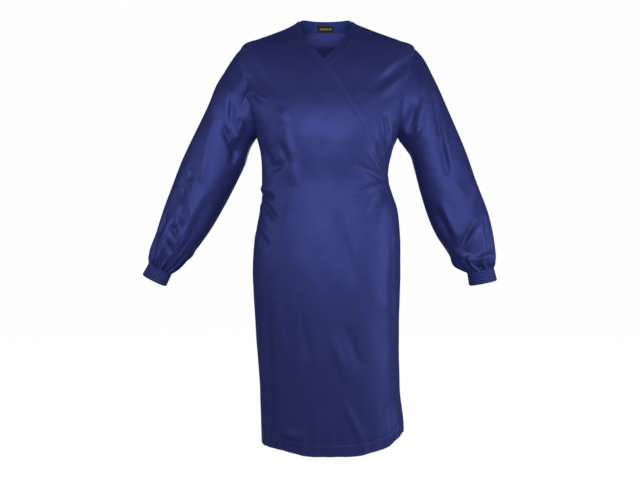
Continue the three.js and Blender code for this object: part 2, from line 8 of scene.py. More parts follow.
import bpy
import numpy as np
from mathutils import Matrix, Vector
from mathutils.geometry import delaunay_2d_cdt
from numpy import cos, exp, linspace, sin, stack, vstack


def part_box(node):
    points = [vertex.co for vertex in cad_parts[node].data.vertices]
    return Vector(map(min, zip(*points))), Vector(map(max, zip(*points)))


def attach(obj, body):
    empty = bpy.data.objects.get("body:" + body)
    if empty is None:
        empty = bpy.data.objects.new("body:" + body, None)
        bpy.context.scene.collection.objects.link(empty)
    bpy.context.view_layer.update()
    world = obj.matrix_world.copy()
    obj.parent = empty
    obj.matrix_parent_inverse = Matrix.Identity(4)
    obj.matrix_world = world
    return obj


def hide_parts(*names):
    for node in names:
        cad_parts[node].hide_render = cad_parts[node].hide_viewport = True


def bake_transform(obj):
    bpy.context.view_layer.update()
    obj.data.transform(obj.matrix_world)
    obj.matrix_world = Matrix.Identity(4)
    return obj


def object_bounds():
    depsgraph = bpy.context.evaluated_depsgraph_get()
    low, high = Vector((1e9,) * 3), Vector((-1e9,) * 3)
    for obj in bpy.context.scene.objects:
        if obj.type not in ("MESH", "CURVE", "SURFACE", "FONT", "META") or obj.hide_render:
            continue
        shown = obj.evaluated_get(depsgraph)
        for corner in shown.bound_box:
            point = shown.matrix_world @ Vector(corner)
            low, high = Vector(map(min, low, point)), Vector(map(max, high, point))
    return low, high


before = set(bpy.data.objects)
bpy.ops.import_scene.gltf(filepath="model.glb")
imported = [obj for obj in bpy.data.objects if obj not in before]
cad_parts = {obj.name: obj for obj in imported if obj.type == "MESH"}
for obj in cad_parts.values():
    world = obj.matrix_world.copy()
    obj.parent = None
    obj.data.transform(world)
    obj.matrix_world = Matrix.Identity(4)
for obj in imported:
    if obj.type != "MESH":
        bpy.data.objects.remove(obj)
REST_BOX = [list(corner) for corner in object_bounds()]
MM = 0.001

# ---- Sizes ----

CLOTH, SLEEVE_CLOTH, TIE_CLOTH, KNOT_CLOTH, LABEL_CLOTH = 0.9, 0.8, 1.5, 2.2, 0.35
THREAD_LIFT = 0.12  # how far stitches stand off the cloth
LAP = 2.6  # how far the outer front stands off the inner one
HEM_TURN = 25
EDGE_STITCH = 8  # topstitching in from the outer front's edge
FACING_STITCH = 17  # and from the inner front's edge
FACING_WIDTH = 34
MESH = 5.5  # size of the body panels' triangles
GIRTH_R = 150  # turns an angle into a length of cloth in the flat pattern

SHOULDER_DROP = 60
ARMPIT_DROP = 277
WAIST_DROP = 385
SHOULDER_HALF = 212
NECK_HALF = 66
BACK_NECK_RISE = 13
ARMHOLE_HALF = 55
WRAP_END_DROP = 376
LENGTH = 1010
KNOT_DROP = WAIST_DROP + 6
SLIT_DROP = WAIST_DROP + 43
SLIT_HALF = 20
TIE_WIDTH = 28

# [drop below the neck point, half width on the right, half width on the left, front depth, back depth]
BODY = [
    [-BACK_NECK_RISE - 6, NECK_HALF - 4, NECK_HALF - 4, 7, 57],
    [0, NECK_HALF, NECK_HALF, 16, 60],
    [18, 92, 104, 26, 62],
    [34, 130, 146, 38, 65],
    [48, 168, 184, 50, 70],
    [SHOULDER_DROP, 198, 211, 62, 78],
    [100, 212, 214, 90, 96],
    [160, 203, 204, 112, 107],
    [220, 188, 190, 128, 108],
    [ARMPIT_DROP, 166, 171, 132, 103],
    [320, 156, 154, 128, 97],
    [WAIST_DROP, 153, 147, 119, 90],
    [450, 157, 167, 118, 99],
    [520, 170, 175, 121, 115],
    [600, 175, 175, 123, 126],
    [760, 166, 172, 121, 127],
    [890, 156, 175, 121, 125],
    [LENGTH + 15, 150, 176, 123, 125],
]
POWER = 2.3  # 2 is an ellipse; a higher power is squarer

# ---- Lines and curves ----


def smooth(low, high, x):
    t = np.clip((np.asarray(x, float) - low) / (high - low), 0, 1)
    return t * t * (3 - 2 * t)


def unit(v):
    return v / np.maximum(np.linalg.norm(v, axis=-1, keepdims=True), 1e-9)


def running(steps):
    """Distances from the start, from the lengths of the steps."""
    return np.concatenate([[0], np.cumsum(steps)])


def run_of(line):
    return running(np.linalg.norm(np.diff(line, axis=0), axis=1))


def read_line(line, run, at):
    """A line's values at some distances along it, where run holds the distance of each of its points."""
    return stack([np.interp(at, run, column) for column in line.T], 1)


def cubic(levels, slopes, knots, at):
    """A smooth curve through levels at its knots, read at any places along it."""
    i = np.clip(np.searchsorted(knots, at, side="right") - 1, 0, len(knots) - 2)
    shape = i.shape + (1,) * (levels.ndim - 1)
    h = (knots[i + 1] - knots[i]).reshape(shape)
    s = (at - knots[i]).reshape(shape) / h
    level = levels[i] * (1 + 2 * s) * (1 - s) ** 2 + levels[i + 1] * s * s * (3 - 2 * s)
    return level + h * (slopes[i] * s * (1 - s) ** 2 - slopes[i + 1] * s * s * (1 - s))


# ---- Body form ----

ROWS = np.array(BODY, float)
KNOTS = running(np.hypot(np.diff(ROWS[:, 0]), np.diff(ROWS[:, 1])))
BEFORE = np.maximum(np.arange(len(BODY)) - 1, 0)
AFTER = np.minimum(np.arange(len(BODY)) + 1, len(BODY) - 1)
SLOPES = (ROWS[AFTER] - ROWS[BEFORE]) / (KNOTS[AFTER] - KNOTS[BEFORE])[:, None]


def body(k):
    """The row of BODY at k, which is the distance down the side of the form."""
    return cubic(ROWS, SLOPES, KNOTS, np.clip(np.asarray(k, float), 0, KNOTS[-1]))


FINE_K = linspace(0, KNOTS[-1], 4000)
FINE_DROP = body(FINE_K)[:, 0]


def k_at(z):
    return np.interp(-np.asarray(z, float), FINE_DROP, FINE_K)


def form(angle, k):
    """Points of the plain body form. angle is 0 at the front middle and 90 degrees at the left side."""
    drop, right, left, front, back = np.moveaxis(body(k), -1, 0)
    s, c = sin(angle), cos(angle)
    r = (np.abs(s) ** POWER + np.abs(c) ** POWER) ** (-1 / POWER)
    x = np.where(s > 0, left, right) * r * s
    y = np.where(c > 0, -front, -back) * r * c
    return stack([x, y, -drop], -1)


def form_normal(angle, k):
    round_ = form(angle + 0.02, k) - form(angle - 0.02, k)
    along = form(angle, k + 3) - form(angle, k - 3)
    return unit(np.cross(along, round_))


def flat(angle, k):
    return stack([angle * GIRTH_R, k], -1)


def front_flat(x, z):
    """The place in the flat pattern of a point of the front at (x, z)."""
    x, z = np.asarray(x, float), np.asarray(z, float)
    k = k_at(z)
    row = body(k)
    out = np.clip(np.abs(x) / np.where(x > 0, row[..., 2], row[..., 1]), 0, 0.99999)
    return flat(np.arctan2(np.sign(x) * out, (1 - out**POWER) ** (1 / POWER)), k)


def side_flat(y, z, side):
    """The same for a point of the left (1) or right (-1) side at (y, z). Behind, angles run on past 90."""
    k = k_at(z)
    row = body(k)
    deep = np.clip(np.abs(y) / np.where(y < 0, row[..., 3], row[..., 4]), 0, 0.99999)
    out = (1 - deep**POWER) ** (1 / POWER)
    return flat(side * np.arctan2(out, np.where(y < 0, deep, -deep)), k)


# ---- Drape: how the cloth departs from the plain form ----

# Folds of the front, as [x, z] to [x, z], half width, height (negative is a hollow).
FRONT_FOLDS = [
    # under the right arm: a peak with a hollow beneath it
    [-199, -200, -169, -176, 8, 4], [-169, -176, -138, -206, 8, 4], [-184, -222, -172, -258, 10, -6],
    [-181, -140, -190, -176, 8, -3.5], [-202, -150, -206, -222, 6, -4], [-188, -90, -120, -190, 17, -2.2],
    # from the bust to the right waist
    [-104, -222, -96, -262, 13, 2.6], [-96, -262, -76, -345, 12, 3.4], [-76, -345, -72, -400, 13, 3],
    [-72, -400, -98, -460, 14, 2.2], [-146, -300, -124, -362, 11, -5], [-124, -362, -96, -346, 9, -4],
    [-104, -300, -88, -348, 8, -3.2],
    # creases out of the right side seam where the inner tie leaves
    [-156, -416, -120, -427, 5, -5], [-156, -424, -112, -478, 6.5, -5], [-154, -436, -126, -500, 7, 1.8],
    [-156, -402, -124, -405, 7, 2.8], [-160, -500, -134, -540, 9, -3],
    # drag lines from the left shoulder point to the bust
    [214, -84, 112, -178, 13, -3.1], [204, -112, 112, -196, 13, 2.8], [176, -88, 120, -146, 9, 2.2],
    # inner front beside the left armpit
    [136, -238, 143, -290, 6, -4], [126, -240, 133, -296, 6, 2.6], [150, -262, 146, -330, 7, 3],
    # gathering into the left waist, where the outer front ends
    [112, -300, 138, -372, 5, -2.6], [92, -318, 136, -380, 6, 2.2], [70, -350, 136, -384, 7, -1.8],
    [60, -420, 140, -388, 8, 1.6], [96, -470, 142, -396, 9, -1.2], [118, -500, 146, -404, 9, 1],
    # long soft folds of the skirt
    [26, -470, 58, -610, 15, -2.6], [44, -720, 74, -812, 12, -2.4], [12, -740, 46, -840, 12, 1.8],
    [-55, -690, -42, -790, 12, -2], [-112, -640, -96, -800, 12, 1.8], [-116, -700, -108, -985, 9, 2.6],
    [-136, -620, -128, -960, 12, -2.8], [112, -655, 134, -688, 10, 0.5], [134, -688, 152, -645, 10, 0.5],
    [128, -540, 134, -568, 8, -0.8], [150, -470, 158, -900, 9, -1.2], [44, -900, 84, -985, 8, 2],
    [-100, -968, -58, -972, 12, 2.2],
]
# Folds of the back, in the same form, seen from the front's side.
BACK_FOLDS = [
    [-150, -230, -60, -350, 13, 3], [150, -230, 60, -350, 13, 3], [-165, -210, -110, -300, 12, -3],
    [165, -210, 110, -300, 12, -3], [-30, -120, -26, -330, 20, 1.6], [60, -180, 40, -340, 16, -2.2],
    [-90, -440, -112, -640, 14, 3.2], [-48, -430, -60, -700, 13, -3.6], [-10, -430, -14, -760, 14, 3.4],
    [34, -430, 46, -720, 13, -3.4], [76, -435, 100, -690, 14, 3.4], [124, -440, 150, -620, 12, -3],
    [-134, -440, -152, -600, 12, -2.8], [-60, -760, -76, -990, 18, 2.6], [20, -800, 10, -1000, 18, -2.6],
    [96, -740, 110, -990, 18, 2.4],
]
FOLD_GAIN = 1.7
FOLD_SPREAD = 0.88
SLACK = [
    [310, 900, 0.4, 0.9], [-170, 420, 2.0, 0.6], [95, -260, 4.1, 0.35], [61, 140, 1.2, 0.22],
    [-47, 75, 5.0, 0.15],
]
MEET = radians(205), radians(240)  # where a wave's left end gives way to its right end
TIE_PULL, TIE_REACH = 4.0, 24  # how deep the tied waist sinks behind, and how far up and down
SEAM_SINK = 0.9
CORNER_LIFT = 10  # the outer front's lower corner hangs forward
STITCH_DIP, STITCH_PUFF = 0.4, 0.12  # cloth sinks under a row of stitches and rises beside it


def folds(x, z, rows, gain=FOLD_GAIN, spread=FOLD_SPREAD):
    """The height of a set of folds at (x, z): each is a smooth ridge that fades at both ends."""
    height = np.zeros_like(x)
    for x0, z0, x1, z1, wide, high in rows:
        wide, high = wide * spread, high * gain
        long = math.hypot(x1 - x0, z1 - z0)
        s = ((x - x0) * (x1 - x0) + (z - z0) * (z1 - z0)) / long**2
        near = np.clip(s, 0, 1)
        d = np.hypot(x - x0 - near * (x1 - x0), z - z0 - near * (z1 - z0))
        fade = sin(pi * (0.05 + 0.9 * near)) ** 0.8
        height += high * fade * exp(-((d / wide) ** 2))
    return height


def waves(a, b, rows):
    """A sum of slow waves over two coordinates: [length along a, length along b, phase, height]."""
    return sum(h * sin(a / la * 2 * pi + b / lb * 2 * pi + ph) for la, lb, ph, h in rows)


def hem_z(x):
    """The hem's height at x: level, and lifted towards the left side."""
    return -LENGTH - 5.5 + 11.5 * smooth(-30, -120, x) + 12 * smooth(60, 140, x) + 38 * smooth(125, 192, x)


def tie_z(angle):
    """The middle of the waist ties' run round the back."""
    turn = np.degrees(np.mod(angle, 2 * pi))
    left = -WRAP_END_DROP - 8 + (WRAP_END_DROP + 8 - KNOT_DROP) * (turn - 90) / 90
    right = -SLIT_DROP - 4 + (SLIT_DROP + 4 - KNOT_DROP) * (270 - turn) / 90
    return np.where(turn < 180, left, right)


def around(wave, angle):
    """A wave round the body, drawn so that it meets itself at the right side seam."""
    turn = np.mod(angle + pi / 2, 2 * pi) - pi / 2
    share = smooth(*MEET, turn)
    return wave(turn) * (1 - share) + wave(turn - 2 * pi) * share


def drape(angle, k, base):
    """How far the cloth stands off the plain form."""
    x, y, z = np.moveaxis(base, -1, 0)
    c = cos(angle)
    facing = smooth(-0.02, 0.16, c)
    d = facing * folds(x, z, FRONT_FOLDS) + (1 - smooth(-0.16, 0.02, c)) * folds(x, z, BACK_FOLDS)
    d += around(lambda turn: waves(turn * GIRTH_R, z, SLACK), angle)
    behind = 1 - smooth(-0.35, 0.0, c)
    off = z - tie_z(angle)
    d -= behind * TIE_PULL * exp(-((off / TIE_REACH) ** 2))
    gather = sin(angle * 31 + 0.8 * sin(angle * 7)) + 0.6 * sin(angle * 53 + 1.7)
    d += behind * 1.3 * gather * exp(-np.abs(off) / 70) * smooth(8, 34, np.abs(off))
    side = np.abs(sin(angle)) > 0.6
    d -= SEAM_SINK * exp(-((c * 130 / 2.6) ** 2)) * side
    hem_gap = z - hem_z(x)
    ripple = around(lambda turn: sin(turn * GIRTH_R / 31 * 2 * pi), angle)
    d += 0.9 * ripple * exp(-hem_gap / 60) * smooth(0, 0.5, np.abs(c))
    corner = smooth(0.55, 1.0, sin(angle)) * smooth(95, 10, hem_gap)
    d += CORNER_LIFT * corner * smooth(-0.15, 0.25, c)
    return d


def nearest(points, line):
    """Distance from each point to the nearest of a line's points, a few of them at a time."""
    best = np.full(len(points), 1e9)
    for start in range(0, len(line), 200):
        part = line[start : start + 200]
        best = np.minimum(best, ((points[:, None, :] - part[None]) ** 2).sum(-1).min(1))
    return np.sqrt(best)


def place(uv, lift=None, grooves=()):
    """Flat pattern points on the draped body, with their outward directions."""
    angle, k = uv[:, 0] / GIRTH_R, uv[:, 1]
    base = form(angle, k)
    normal = form_normal(angle, k)
    d = drape(angle, k, base)
    for line in grooves:
        near = nearest(uv, line)
        d = d - STITCH_DIP * exp(-((near / 1.3) ** 2)) + STITCH_PUFF * exp(-(((near - 4.5) / 2.4) ** 2))
    if lift is not None:
        d = d + (lift(angle) if callable(lift) else lift)
    return base + normal * d[:, None], normal


def lap(angle):
    """The outer front leaves the right side seam level with the back and rises over the inner front."""
    return LAP * np.clip((np.degrees(angle) + 90) / 20, 0, 1)


# ---- Lines of the pattern ----


def spline(points, step=3.0):
    """An even curve through a few points."""
    p = np.array(points, float)
    padded = vstack([2 * p[0] - p[1], p, 2 * p[-1] - p[-2]])
    t = linspace(0, 1, 24, endpoint=False)[:, None]
    parts = []
    for a, b, c, d in zip(padded, padded[1:], padded[2:], padded[3:]):
        start = 2 * b + (c - a) * t + (2 * a - 5 * b + 4 * c - d) * t**2
        parts.append(0.5 * (start + (3 * b - a - 3 * c + d) * t**3))
    return even(vstack([*parts, p[-1:]]), step)


def even(line, step):
    """The same line with its points a given distance apart."""
    run = run_of(line)
    return read_line(line, run, linspace(0, run[-1], max(2, int(round(run[-1] / step)) + 1)))


def beside(line, distance):
    """A line beside another: positive is on its left."""
    along = unit(np.gradient(line, axis=0))
    return line + distance * stack([-along[:, 1], along[:, 0]], 1)


def loop_of(parts, step):
    """One closed outline from lines that run end to end."""
    line = vstack([even(np.asarray(p, float), step)[:-1] for p in parts])
    keep = np.linalg.norm(line - np.roll(line, 1, 0), axis=1) > step * 0.25
    return line[keep]


# The outer front's edge, from the right neck point over the bust to the left side.
OUTER_EDGE = spline(
    [[-64, -2.5], [-57, -28], [-46, -54], [-31, -76], [-14, -97], [4, -119], [34, -156], [66, -210],
     [93, -255], [108, -288], [121, -332], [129, -358], [138, -376]]
)
# The inner front's edge, from the left neck point down under the outer front to the right side.
INNER_EDGE = spline(
    [[64, 0], [58, -24], [36, -56], [20, -80], [-2, -101], [-28, -128], [-60, -185], [-88, -260],
     [-108, -340], [-118, -410]]
)
OUTER_LINE, INNER_LINE = (front_flat(edge[:, 0], edge[:, 1]) for edge in (OUTER_EDGE, INNER_EDGE))
INNER_HEM_START = front_flat([-112], [-LENGTH + 10])[0, 0] / GIRTH_R
RIGHT_SEAM = -pi / 2
LEFT_SEAM = pi / 2
WRAP_EDGE_ANGLE = radians(81)  # where the outer front's edge hangs, in front of the left side
ARMHOLE_TOP = -SHOULDER_DROP - 3


def seam(angle, z_from, z_to):
    z = linspace(z_from, z_to, 260)
    return flat(np.full_like(z, angle), k_at(z))


def right_seam(cut):
    """The right side seam, with the slit that the inner tie passes through. cut is the way it opens."""
    z = linspace(-ARMPIT_DROP, hem_z(-150), 400)
    inside = np.clip(1 - ((z + SLIT_DROP) / SLIT_HALF) ** 2, 0, 1)
    return flat(np.full_like(z, RIGHT_SEAM) + cut * 5.5 / GIRTH_R * inside, k_at(z))


def armhole(side, turns, inset=0.0):
    """Egg-shaped armhole: turn 0 is its top and a positive turn runs down its front."""
    top, low = ARMHOLE_TOP, -ARMPIT_DROP
    half = (top - low) / 2 - inset
    wide = (ARMHOLE_HALF - inset) * (1 - 0.3 * cos(turns))
    return side_flat(-wide * sin(turns), (top + low) / 2 + half * cos(turns), side)


FRONT_TURN = linspace(0.0, pi, 120)


def level_line(height, angles, k):
    """A line round the body whose height depends on where it runs, found from a first guess at k."""
    for _ in range(8):
        k = k_at(height(form(angles, k)))
    return flat(angles, k)


def hem_line(angle_from, angle_to):
    angles = linspace(angle_from, angle_to, 160)
    return level_line(lambda p: hem_z(p[:, 0]), angles, np.full(160, KNOTS[-1] - 20))


def neckline_back():
    angles = linspace(LEFT_SEAM, LEFT_SEAM + pi, 90)
    return level_line(lambda p: BACK_NECK_RISE * smooth(-6, 46, p[:, 1]), angles, k_at(np.zeros(90)))


def outer_front_outline():
    hem = hem_line(RIGHT_SEAM, WRAP_EDGE_ANGLE)
    corner = flat(np.array([WRAP_EDGE_ANGLE]), k_at([-WRAP_END_DROP - 24]))
    shoulder = seam(RIGHT_SEAM, 0, ARMHOLE_TOP)
    free = vstack([hem[-1:], corner, OUTER_LINE[-1:]])
    neck = vstack([OUTER_LINE[:1], shoulder[:1]])
    return [shoulder, armhole(-1, FRONT_TURN), right_seam(1.0), hem, free, OUTER_LINE[::-1], neck]


def inner_front_outline():
    hem = hem_line(INNER_HEM_START, LEFT_SEAM)
    side, shoulder = seam(LEFT_SEAM, hem_z(175), -ARMPIT_DROP), seam(LEFT_SEAM, ARMHOLE_TOP, 0)
    down = vstack([INNER_LINE[-1:], hem[:1]])
    neck = vstack([shoulder[-1:], INNER_LINE[:1]])
    return [INNER_LINE, down, hem, side, armhole(1, FRONT_TURN[::-1]), shoulder, neck]


def back_outline():
    turn = np.array([2 * pi * GIRTH_R, 0])
    return [
        neckline_back(), seam(LEFT_SEAM + pi, 0, ARMHOLE_TOP), armhole(-1, -FRONT_TURN) + turn,
        right_seam(-1.0) + turn, hem_line(LEFT_SEAM, LEFT_SEAM + pi)[::-1],
        seam(LEFT_SEAM, hem_z(175), -ARMPIT_DROP), armhole(1, -FRONT_TURN)[::-1],
        seam(LEFT_SEAM, ARMHOLE_TOP, 0)]


# ---- Meshes ----


def inside(points, loop):
    """Which of the points lie inside a closed outline."""
    x, y = points.T
    found = np.zeros(len(points), bool)
    for (x0, y0), (x1, y1) in zip(loop, np.roll(loop, -1, 0)):
        spans = (y0 > y) != (y1 > y)
        found[spans] ^= x[spans] < x0 + (y[spans] - y0) * (x1 - x0) / (y1 - y0 or 1)
    return found


TRIANGLE_ROW = 0.87  # the height of an even triangle, as a share of its side
CLEAR = 0.55, 0.5  # how near the outline and the lines inside it a corner may lie, likewise


def triangulate(loop, lines, size):
    """Even triangles that fill an outline in the flat pattern and follow the lines inside it."""
    low, high = loop.min(0), loop.max(0)
    points = vstack([
        [(x, y) for x in np.arange(low[0] + (i % 2) * size / 2, high[0], size)]
        for i, y in enumerate(np.arange(low[1], high[1], size * TRIANGLE_ROW))])
    points = points[inside(points, loop)]
    points = points[nearest(points, loop) > size * CLEAR[0]]
    kept = []
    for line in lines:
        line = line[inside(line, loop)]
        line = line[nearest(line, loop) > 2.0]
        points = points[nearest(points, line) > size * CLEAR[1]]
        kept.append(line)
    edges = [(i, (i + 1) % len(loop)) for i in range(len(loop))]
    result = delaunay_2d_cdt([Vector(p) for p in vstack([loop, *kept, points])], edges, [], 1, 1e-4)
    return np.array([tuple(v) for v in result[0]]), np.array(result[2])


def boundary(faces):
    """Directed edges that only one triangle has."""
    pairs = vstack([faces[:, [i, (i + 1) % 3]] for i in range(3)])
    n = faces.max() + 1
    ahead, back = pairs[:, 0] * n + pairs[:, 1], pairs[:, 1] * n + pairs[:, 0]
    return pairs[~np.isin(ahead, back)]


def mesh_object(name, vertices, faces, material):
    mesh = bpy.data.meshes.new(name)
    mesh.from_pydata((np.asarray(vertices) * MM).tolist(), [], faces)
    mesh.validate()
    made = bpy.data.objects.new(name, mesh)
    bpy.context.scene.collection.objects.link(made)
    mesh.materials.append(material)
    mesh.polygons.foreach_set("use_smooth", np.ones(len(mesh.polygons), bool))
    return made


def finish_mesh(made, uv, wear, reverse):
    """Stores the cloth's own coordinates, in metres, and its wear and wrong side, from 0 to 1."""
    mesh = made.data
    corner = np.zeros(len(mesh.loops), int)
    mesh.loops.foreach_get("vertex_index", corner)
    layer = mesh.uv_layers.new(name="cloth")
    layer.data.foreach_set("uv", (uv[corner] * MM).astype(np.float32).ravel())
    for key, values in (("wear", wear), ("reverse", reverse)):
        attribute = mesh.attributes.new(key, "FLOAT", "POINT")
        attribute.data.foreach_set("value", np.asarray(values, np.float32))


def cloth_object(name, points, faces, normals, uv, material, thick=CLOTH, wear=None):
    """A sheet with thickness and a rounded edge, from its outer surface. uv is the cloth's own flat place."""
    points, normals, uv = (values.reshape(-1, values.shape[-1]) for values in (points, normals, uv))
    n = len(points)
    a, b, c = (points[faces[:, i]] for i in range(3))
    if (np.cross(b - a, c - a) * normals[faces[:, 0]]).sum() < 0:
        faces = faces[:, ::-1]
    rim = boundary(faces)
    i, j = rim.T
    thick = np.broadcast_to(np.asarray(thick, float), (n,))
    inner = points - normals * thick[:, None]
    ahead, behind = np.arange(n), np.arange(n)
    ahead[i], behind[j] = j, i
    edge = np.unique(rim)
    out = unit(np.cross(points[ahead[edge]] - points[behind[edge]], normals[edge]))
    middle = (points[edge] + inner[edge]) / 2 + out * thick[edge, None] * 0.4
    at = np.full(n, -1)
    at[edge] = np.arange(len(edge)) + 2 * n
    layers = [faces, faces[:, ::-1] + n]
    layers += [stack([j, i, at[i], at[j]], 1), stack([at[j], at[i], i + n, j + n], 1)]
    every = [face for layer in layers for face in layer.tolist()]
    made = mesh_object(name, vstack([points, inner, middle]), every, material)
    worn = np.zeros(n) if wear is None else wear
    reverse = np.repeat([0.0, 1.0, 0.0], [n, n, len(edge)])
    finish_mesh(made, vstack([uv, uv, uv[edge]]), np.concatenate([worn, worn, worn[edge]]), reverse)
    sharp = {tuple(sorted(p)) for p in vstack([rim, rim + n]).tolist()}
    pairs = np.zeros(len(made.data.edges) * 2, int)
    made.data.edges.foreach_get("vertices", pairs)
    attribute = made.data.attributes.new("sharp_edge", "BOOLEAN", "EDGE")
    attribute.data.foreach_set("value", [tuple(sorted(p)) in sharp for p in pairs.reshape(-1, 2).tolist()])
    made["cloth_area"] = float(np.linalg.norm(np.cross(b - a, c - a), axis=1).sum() / 2 * MM * MM)
    return made


GROOVE_ROWS = (-4.5, -1.8, 0, 1.8, 4.5)  # rows of corners that carry a stitched groove's shape


def panel(name, parts, material, lift, grooves=(), size=MESH, thick=None, drop=0.0):
    """A panel of the body, cut to an outline in the flat pattern."""
    loop = loop_of(parts, size * 0.7)
    beside_lines = [beside(g, d) for g in grooves for d in GROOVE_ROWS]
    uv, faces = triangulate(loop, [even(line, size * 0.8) for line in beside_lines], size)
    points, normals = place(uv, lift, grooves)
    if drop:
        points = points - normals * drop
    wear = 0.4 * exp(-nearest(uv, loop) / 3)
    thickness = CLOTH if thick is None else thick(points)
    return cloth_object(name, points, faces, normals, uv, material, thickness, wear)


def grid_faces(rows, cols, closed):
    i = np.arange(rows - 1)[:, None] * cols
    j = np.arange(cols if closed else cols - 1)[None]
    k = (j + 1) % cols
    quads = stack([i + j, i + k, i + cols + k, i + cols + j], -1).reshape(-1, 4)
    return vstack([quads[:, [0, 1, 2]], quads[:, [0, 2, 3]]])


def tube_normals(p):
    """Outward directions of a grid whose rows are rings."""
    n = unit(np.cross(np.roll(p, -1, 1) - np.roll(p, 1, 1), np.gradient(p, axis=0)))
    middle = len(p) // 2
    return n if (n[middle] * (p[middle] - p[middle].mean(0))).sum() > 0 else -n


def grid_flat(p):
    """A grid's own flat coordinates: the mean length across and the length along."""
    u = running(np.linalg.norm(np.diff(p, axis=1), axis=-1).mean(0))
    v = running(np.linalg.norm(np.diff(p, axis=0), axis=-1).mean(1))
    return stack(np.meshgrid(u, v), -1)


# A stitch has four rings of five corners: [place along it, share of its radius].
STITCH_RINGS = [(-0.5, 0.35), (-0.36, 0.9), (0.36, 0.9), (0.5, 0.35)]
STITCH_FACES = [(c, d, d + 5, c + 5) for c in range(15) for d in [c + 1 if c % 5 < 4 else c - 4]]
STITCH_FACES += [(4, 3, 2, 1, 0), (15, 16, 17, 18, 19)]


# Threads, as [pitch, length of a stitch, radius].
BODY_THREAD, TIE_THREAD = (3.2, 2.5, 0.42), (3.0, 2.3, 0.3)
CUFF_THREAD, LABEL_THREAD = (2.4, 1.9, 0.3), (1.6, 1.2, 0.2)


def stitches(name, line, normals, thread=BODY_THREAD):
    """Short raised threads laid end to end along a line."""
    pitch, long, radius = thread
    run = run_of(line)
    at = np.arange(pitch / 2, run[-1] - pitch / 2, pitch)
    centre, up = read_line(line, run, at), read_line(normals, run, at)
    along = unit(read_line(line, run, at + 0.6) - read_line(line, run, at - 0.6))
    across = np.cross(along, up)
    corners = [
        centre + along * s * long + (across * math.cos(a) + up * math.sin(a)) * r * radius
        for s, r in STITCH_RINGS for a in (turn * 2 * pi / 5 for turn in range(5))]
    faces = [[v + 20 * n for v in f] for n in range(len(at)) for f in STITCH_FACES]
    made = mesh_object(name, stack(corners, 1).reshape(-1, 3), faces, navy_thread)
    return made


# ---- Materials ----


def new_material(name):
    made = bpy.data.materials.new(name)
    made.use_nodes = True
    tree = made.node_tree
    return made, tree, tree.nodes["Principled BSDF"]


def connect(tree, socket, value):
    """Links a socket to another, or sets its own value."""
    if isinstance(value, bpy.types.NodeSocket):
        tree.links.new(value, socket)
    else:
        socket.default_value = value


def dress(tree, made, **inputs):
    """Fills a node's inputs, whose names have underscores for spaces."""
    for key, value in inputs.items():
        connect(tree, made.inputs[key.replace("_", " ")], value)
    return made


def node(tree, kind, **inputs):
    return dress(tree, tree.nodes.new(kind), **inputs)


def texture(tree, kind, **inputs):
    return node(tree, f"ShaderNodeTex{kind}", **inputs).outputs["Fac"]


def bump(tree, strength, distance, height, **under):
    made = node(tree, "ShaderNodeBump", Strength=strength, Distance=distance, Height=height, **under)
    return made.outputs[0]


def maths(tree, operation, a, b=0.0):
    made = tree.nodes.new("ShaderNodeMath")
    made.operation = operation
    for socket, value in zip(made.inputs, (a, b)):
        connect(tree, socket, value)
    return made.outputs[0]


def mix_colour(tree, factor, a, b):
    made = tree.nodes.new("ShaderNodeMix")
    made.data_type = "RGBA"
    for index, value in zip((0, 6, 7), (factor, a, b)):
        connect(tree, made.inputs[index], value)
    return made.outputs[2]


def cloth_place(tree):
    made = tree.nodes.new("ShaderNodeUVMap")
    made.uv_map = "cloth"
    return made.outputs[0]


def stored(tree, name):
    """What finish_mesh stored on the points under a name."""
    made = tree.nodes.new("ShaderNodeAttribute")
    made.attribute_name = name
    return made.outputs["Fac"]


def twill(name, colour, worn, roughness=0.5, rib=0.75, sheen=0.12):
    """Satin-faced twill: fine diagonal ribs, a blue lustre, slight unevenness, paler worn edges, and a wrong
    side painted lighter as fill light for the shade inside the neck.
    """
    made, tree, shader = new_material(name)
    tex, calc, mix = (partial(make, tree) for make in (texture, maths, mix_colour))
    at, wear, back = cloth_place(tree), stored(tree, "wear"), stored(tree, "reverse")
    turned = node(tree, "ShaderNodeMapping", Vector=at, Rotation=(0, 0, radians(63))).outputs[0]
    rows = tex("Wave", Vector=turned, Scale=1000 / rib / 20, Distortion=0.6, Detail=1.0)
    cross = tex("Wave", Vector=at, Scale=1000 / 0.45 / 20, Distortion=0.3)
    weave = calc("ADD", rows, calc("MULTIPLY", cross, 0.35))
    broad = tex("Noise", Vector=at, Scale=9.0, Detail=4.0, Roughness=0.6)
    fine = tex("Noise", Vector=at, Scale=420.0, Detail=2.0)
    slub = node(tree, "ShaderNodeMapping", Vector=at, Scale=(900, 30, 1)).outputs[0]
    threads = tex("Noise", Vector=slub, Scale=1.0, Detail=2.0)
    crumple = tex("Noise", Vector=at, Scale=38.0, Detail=3.0, Roughness=0.5)
    patchy = calc("MULTIPLY", wear, fine)
    # The wrong side's colour is painted 1.55 times lighter: painted fill light that lifts the shade inside
    # the neck opening.
    dark, light_, painted_fill_reverse = ([v * gain for v in colour] + [1] for gain in (0.86, 1.12, 1.55))
    tone = mix(calc("MULTIPLY", threads, 0.2), mix(broad, dark, light_), [*worn, 1])
    tone = mix(calc("MULTIPLY", rows, 0.2), tone, dark)
    # On the wrong side the colour becomes the lightened one, painted as fill light.
    tone = mix(back, mix(patchy, tone, [*worn, 1]), painted_fill_reverse)
    rough = roughness - 0.05
    for source, share in ((fine, 0.1), (patchy, 0.2), (back, 0.15)):
        rough = calc("ADD", rough, calc("MULTIPLY", source, share))
    dress(
        tree, shader, Base_Color=tone, Roughness=rough, Metallic=LUSTRE, Sheen_Weight=sheen,
        Sheen_Roughness=0.5, Sheen_Tint=(0.12, 0.2, 0.8, 1), Specular_IOR_Level=0.4,
        Specular_Tint=(0.18, 0.4, 1.0, 1), Anisotropic=0.3,
        Normal=bump(tree, 0.6, 0.0009, crumple, Normal=bump(tree, 0.35, 0.00012, weave)))
    return made


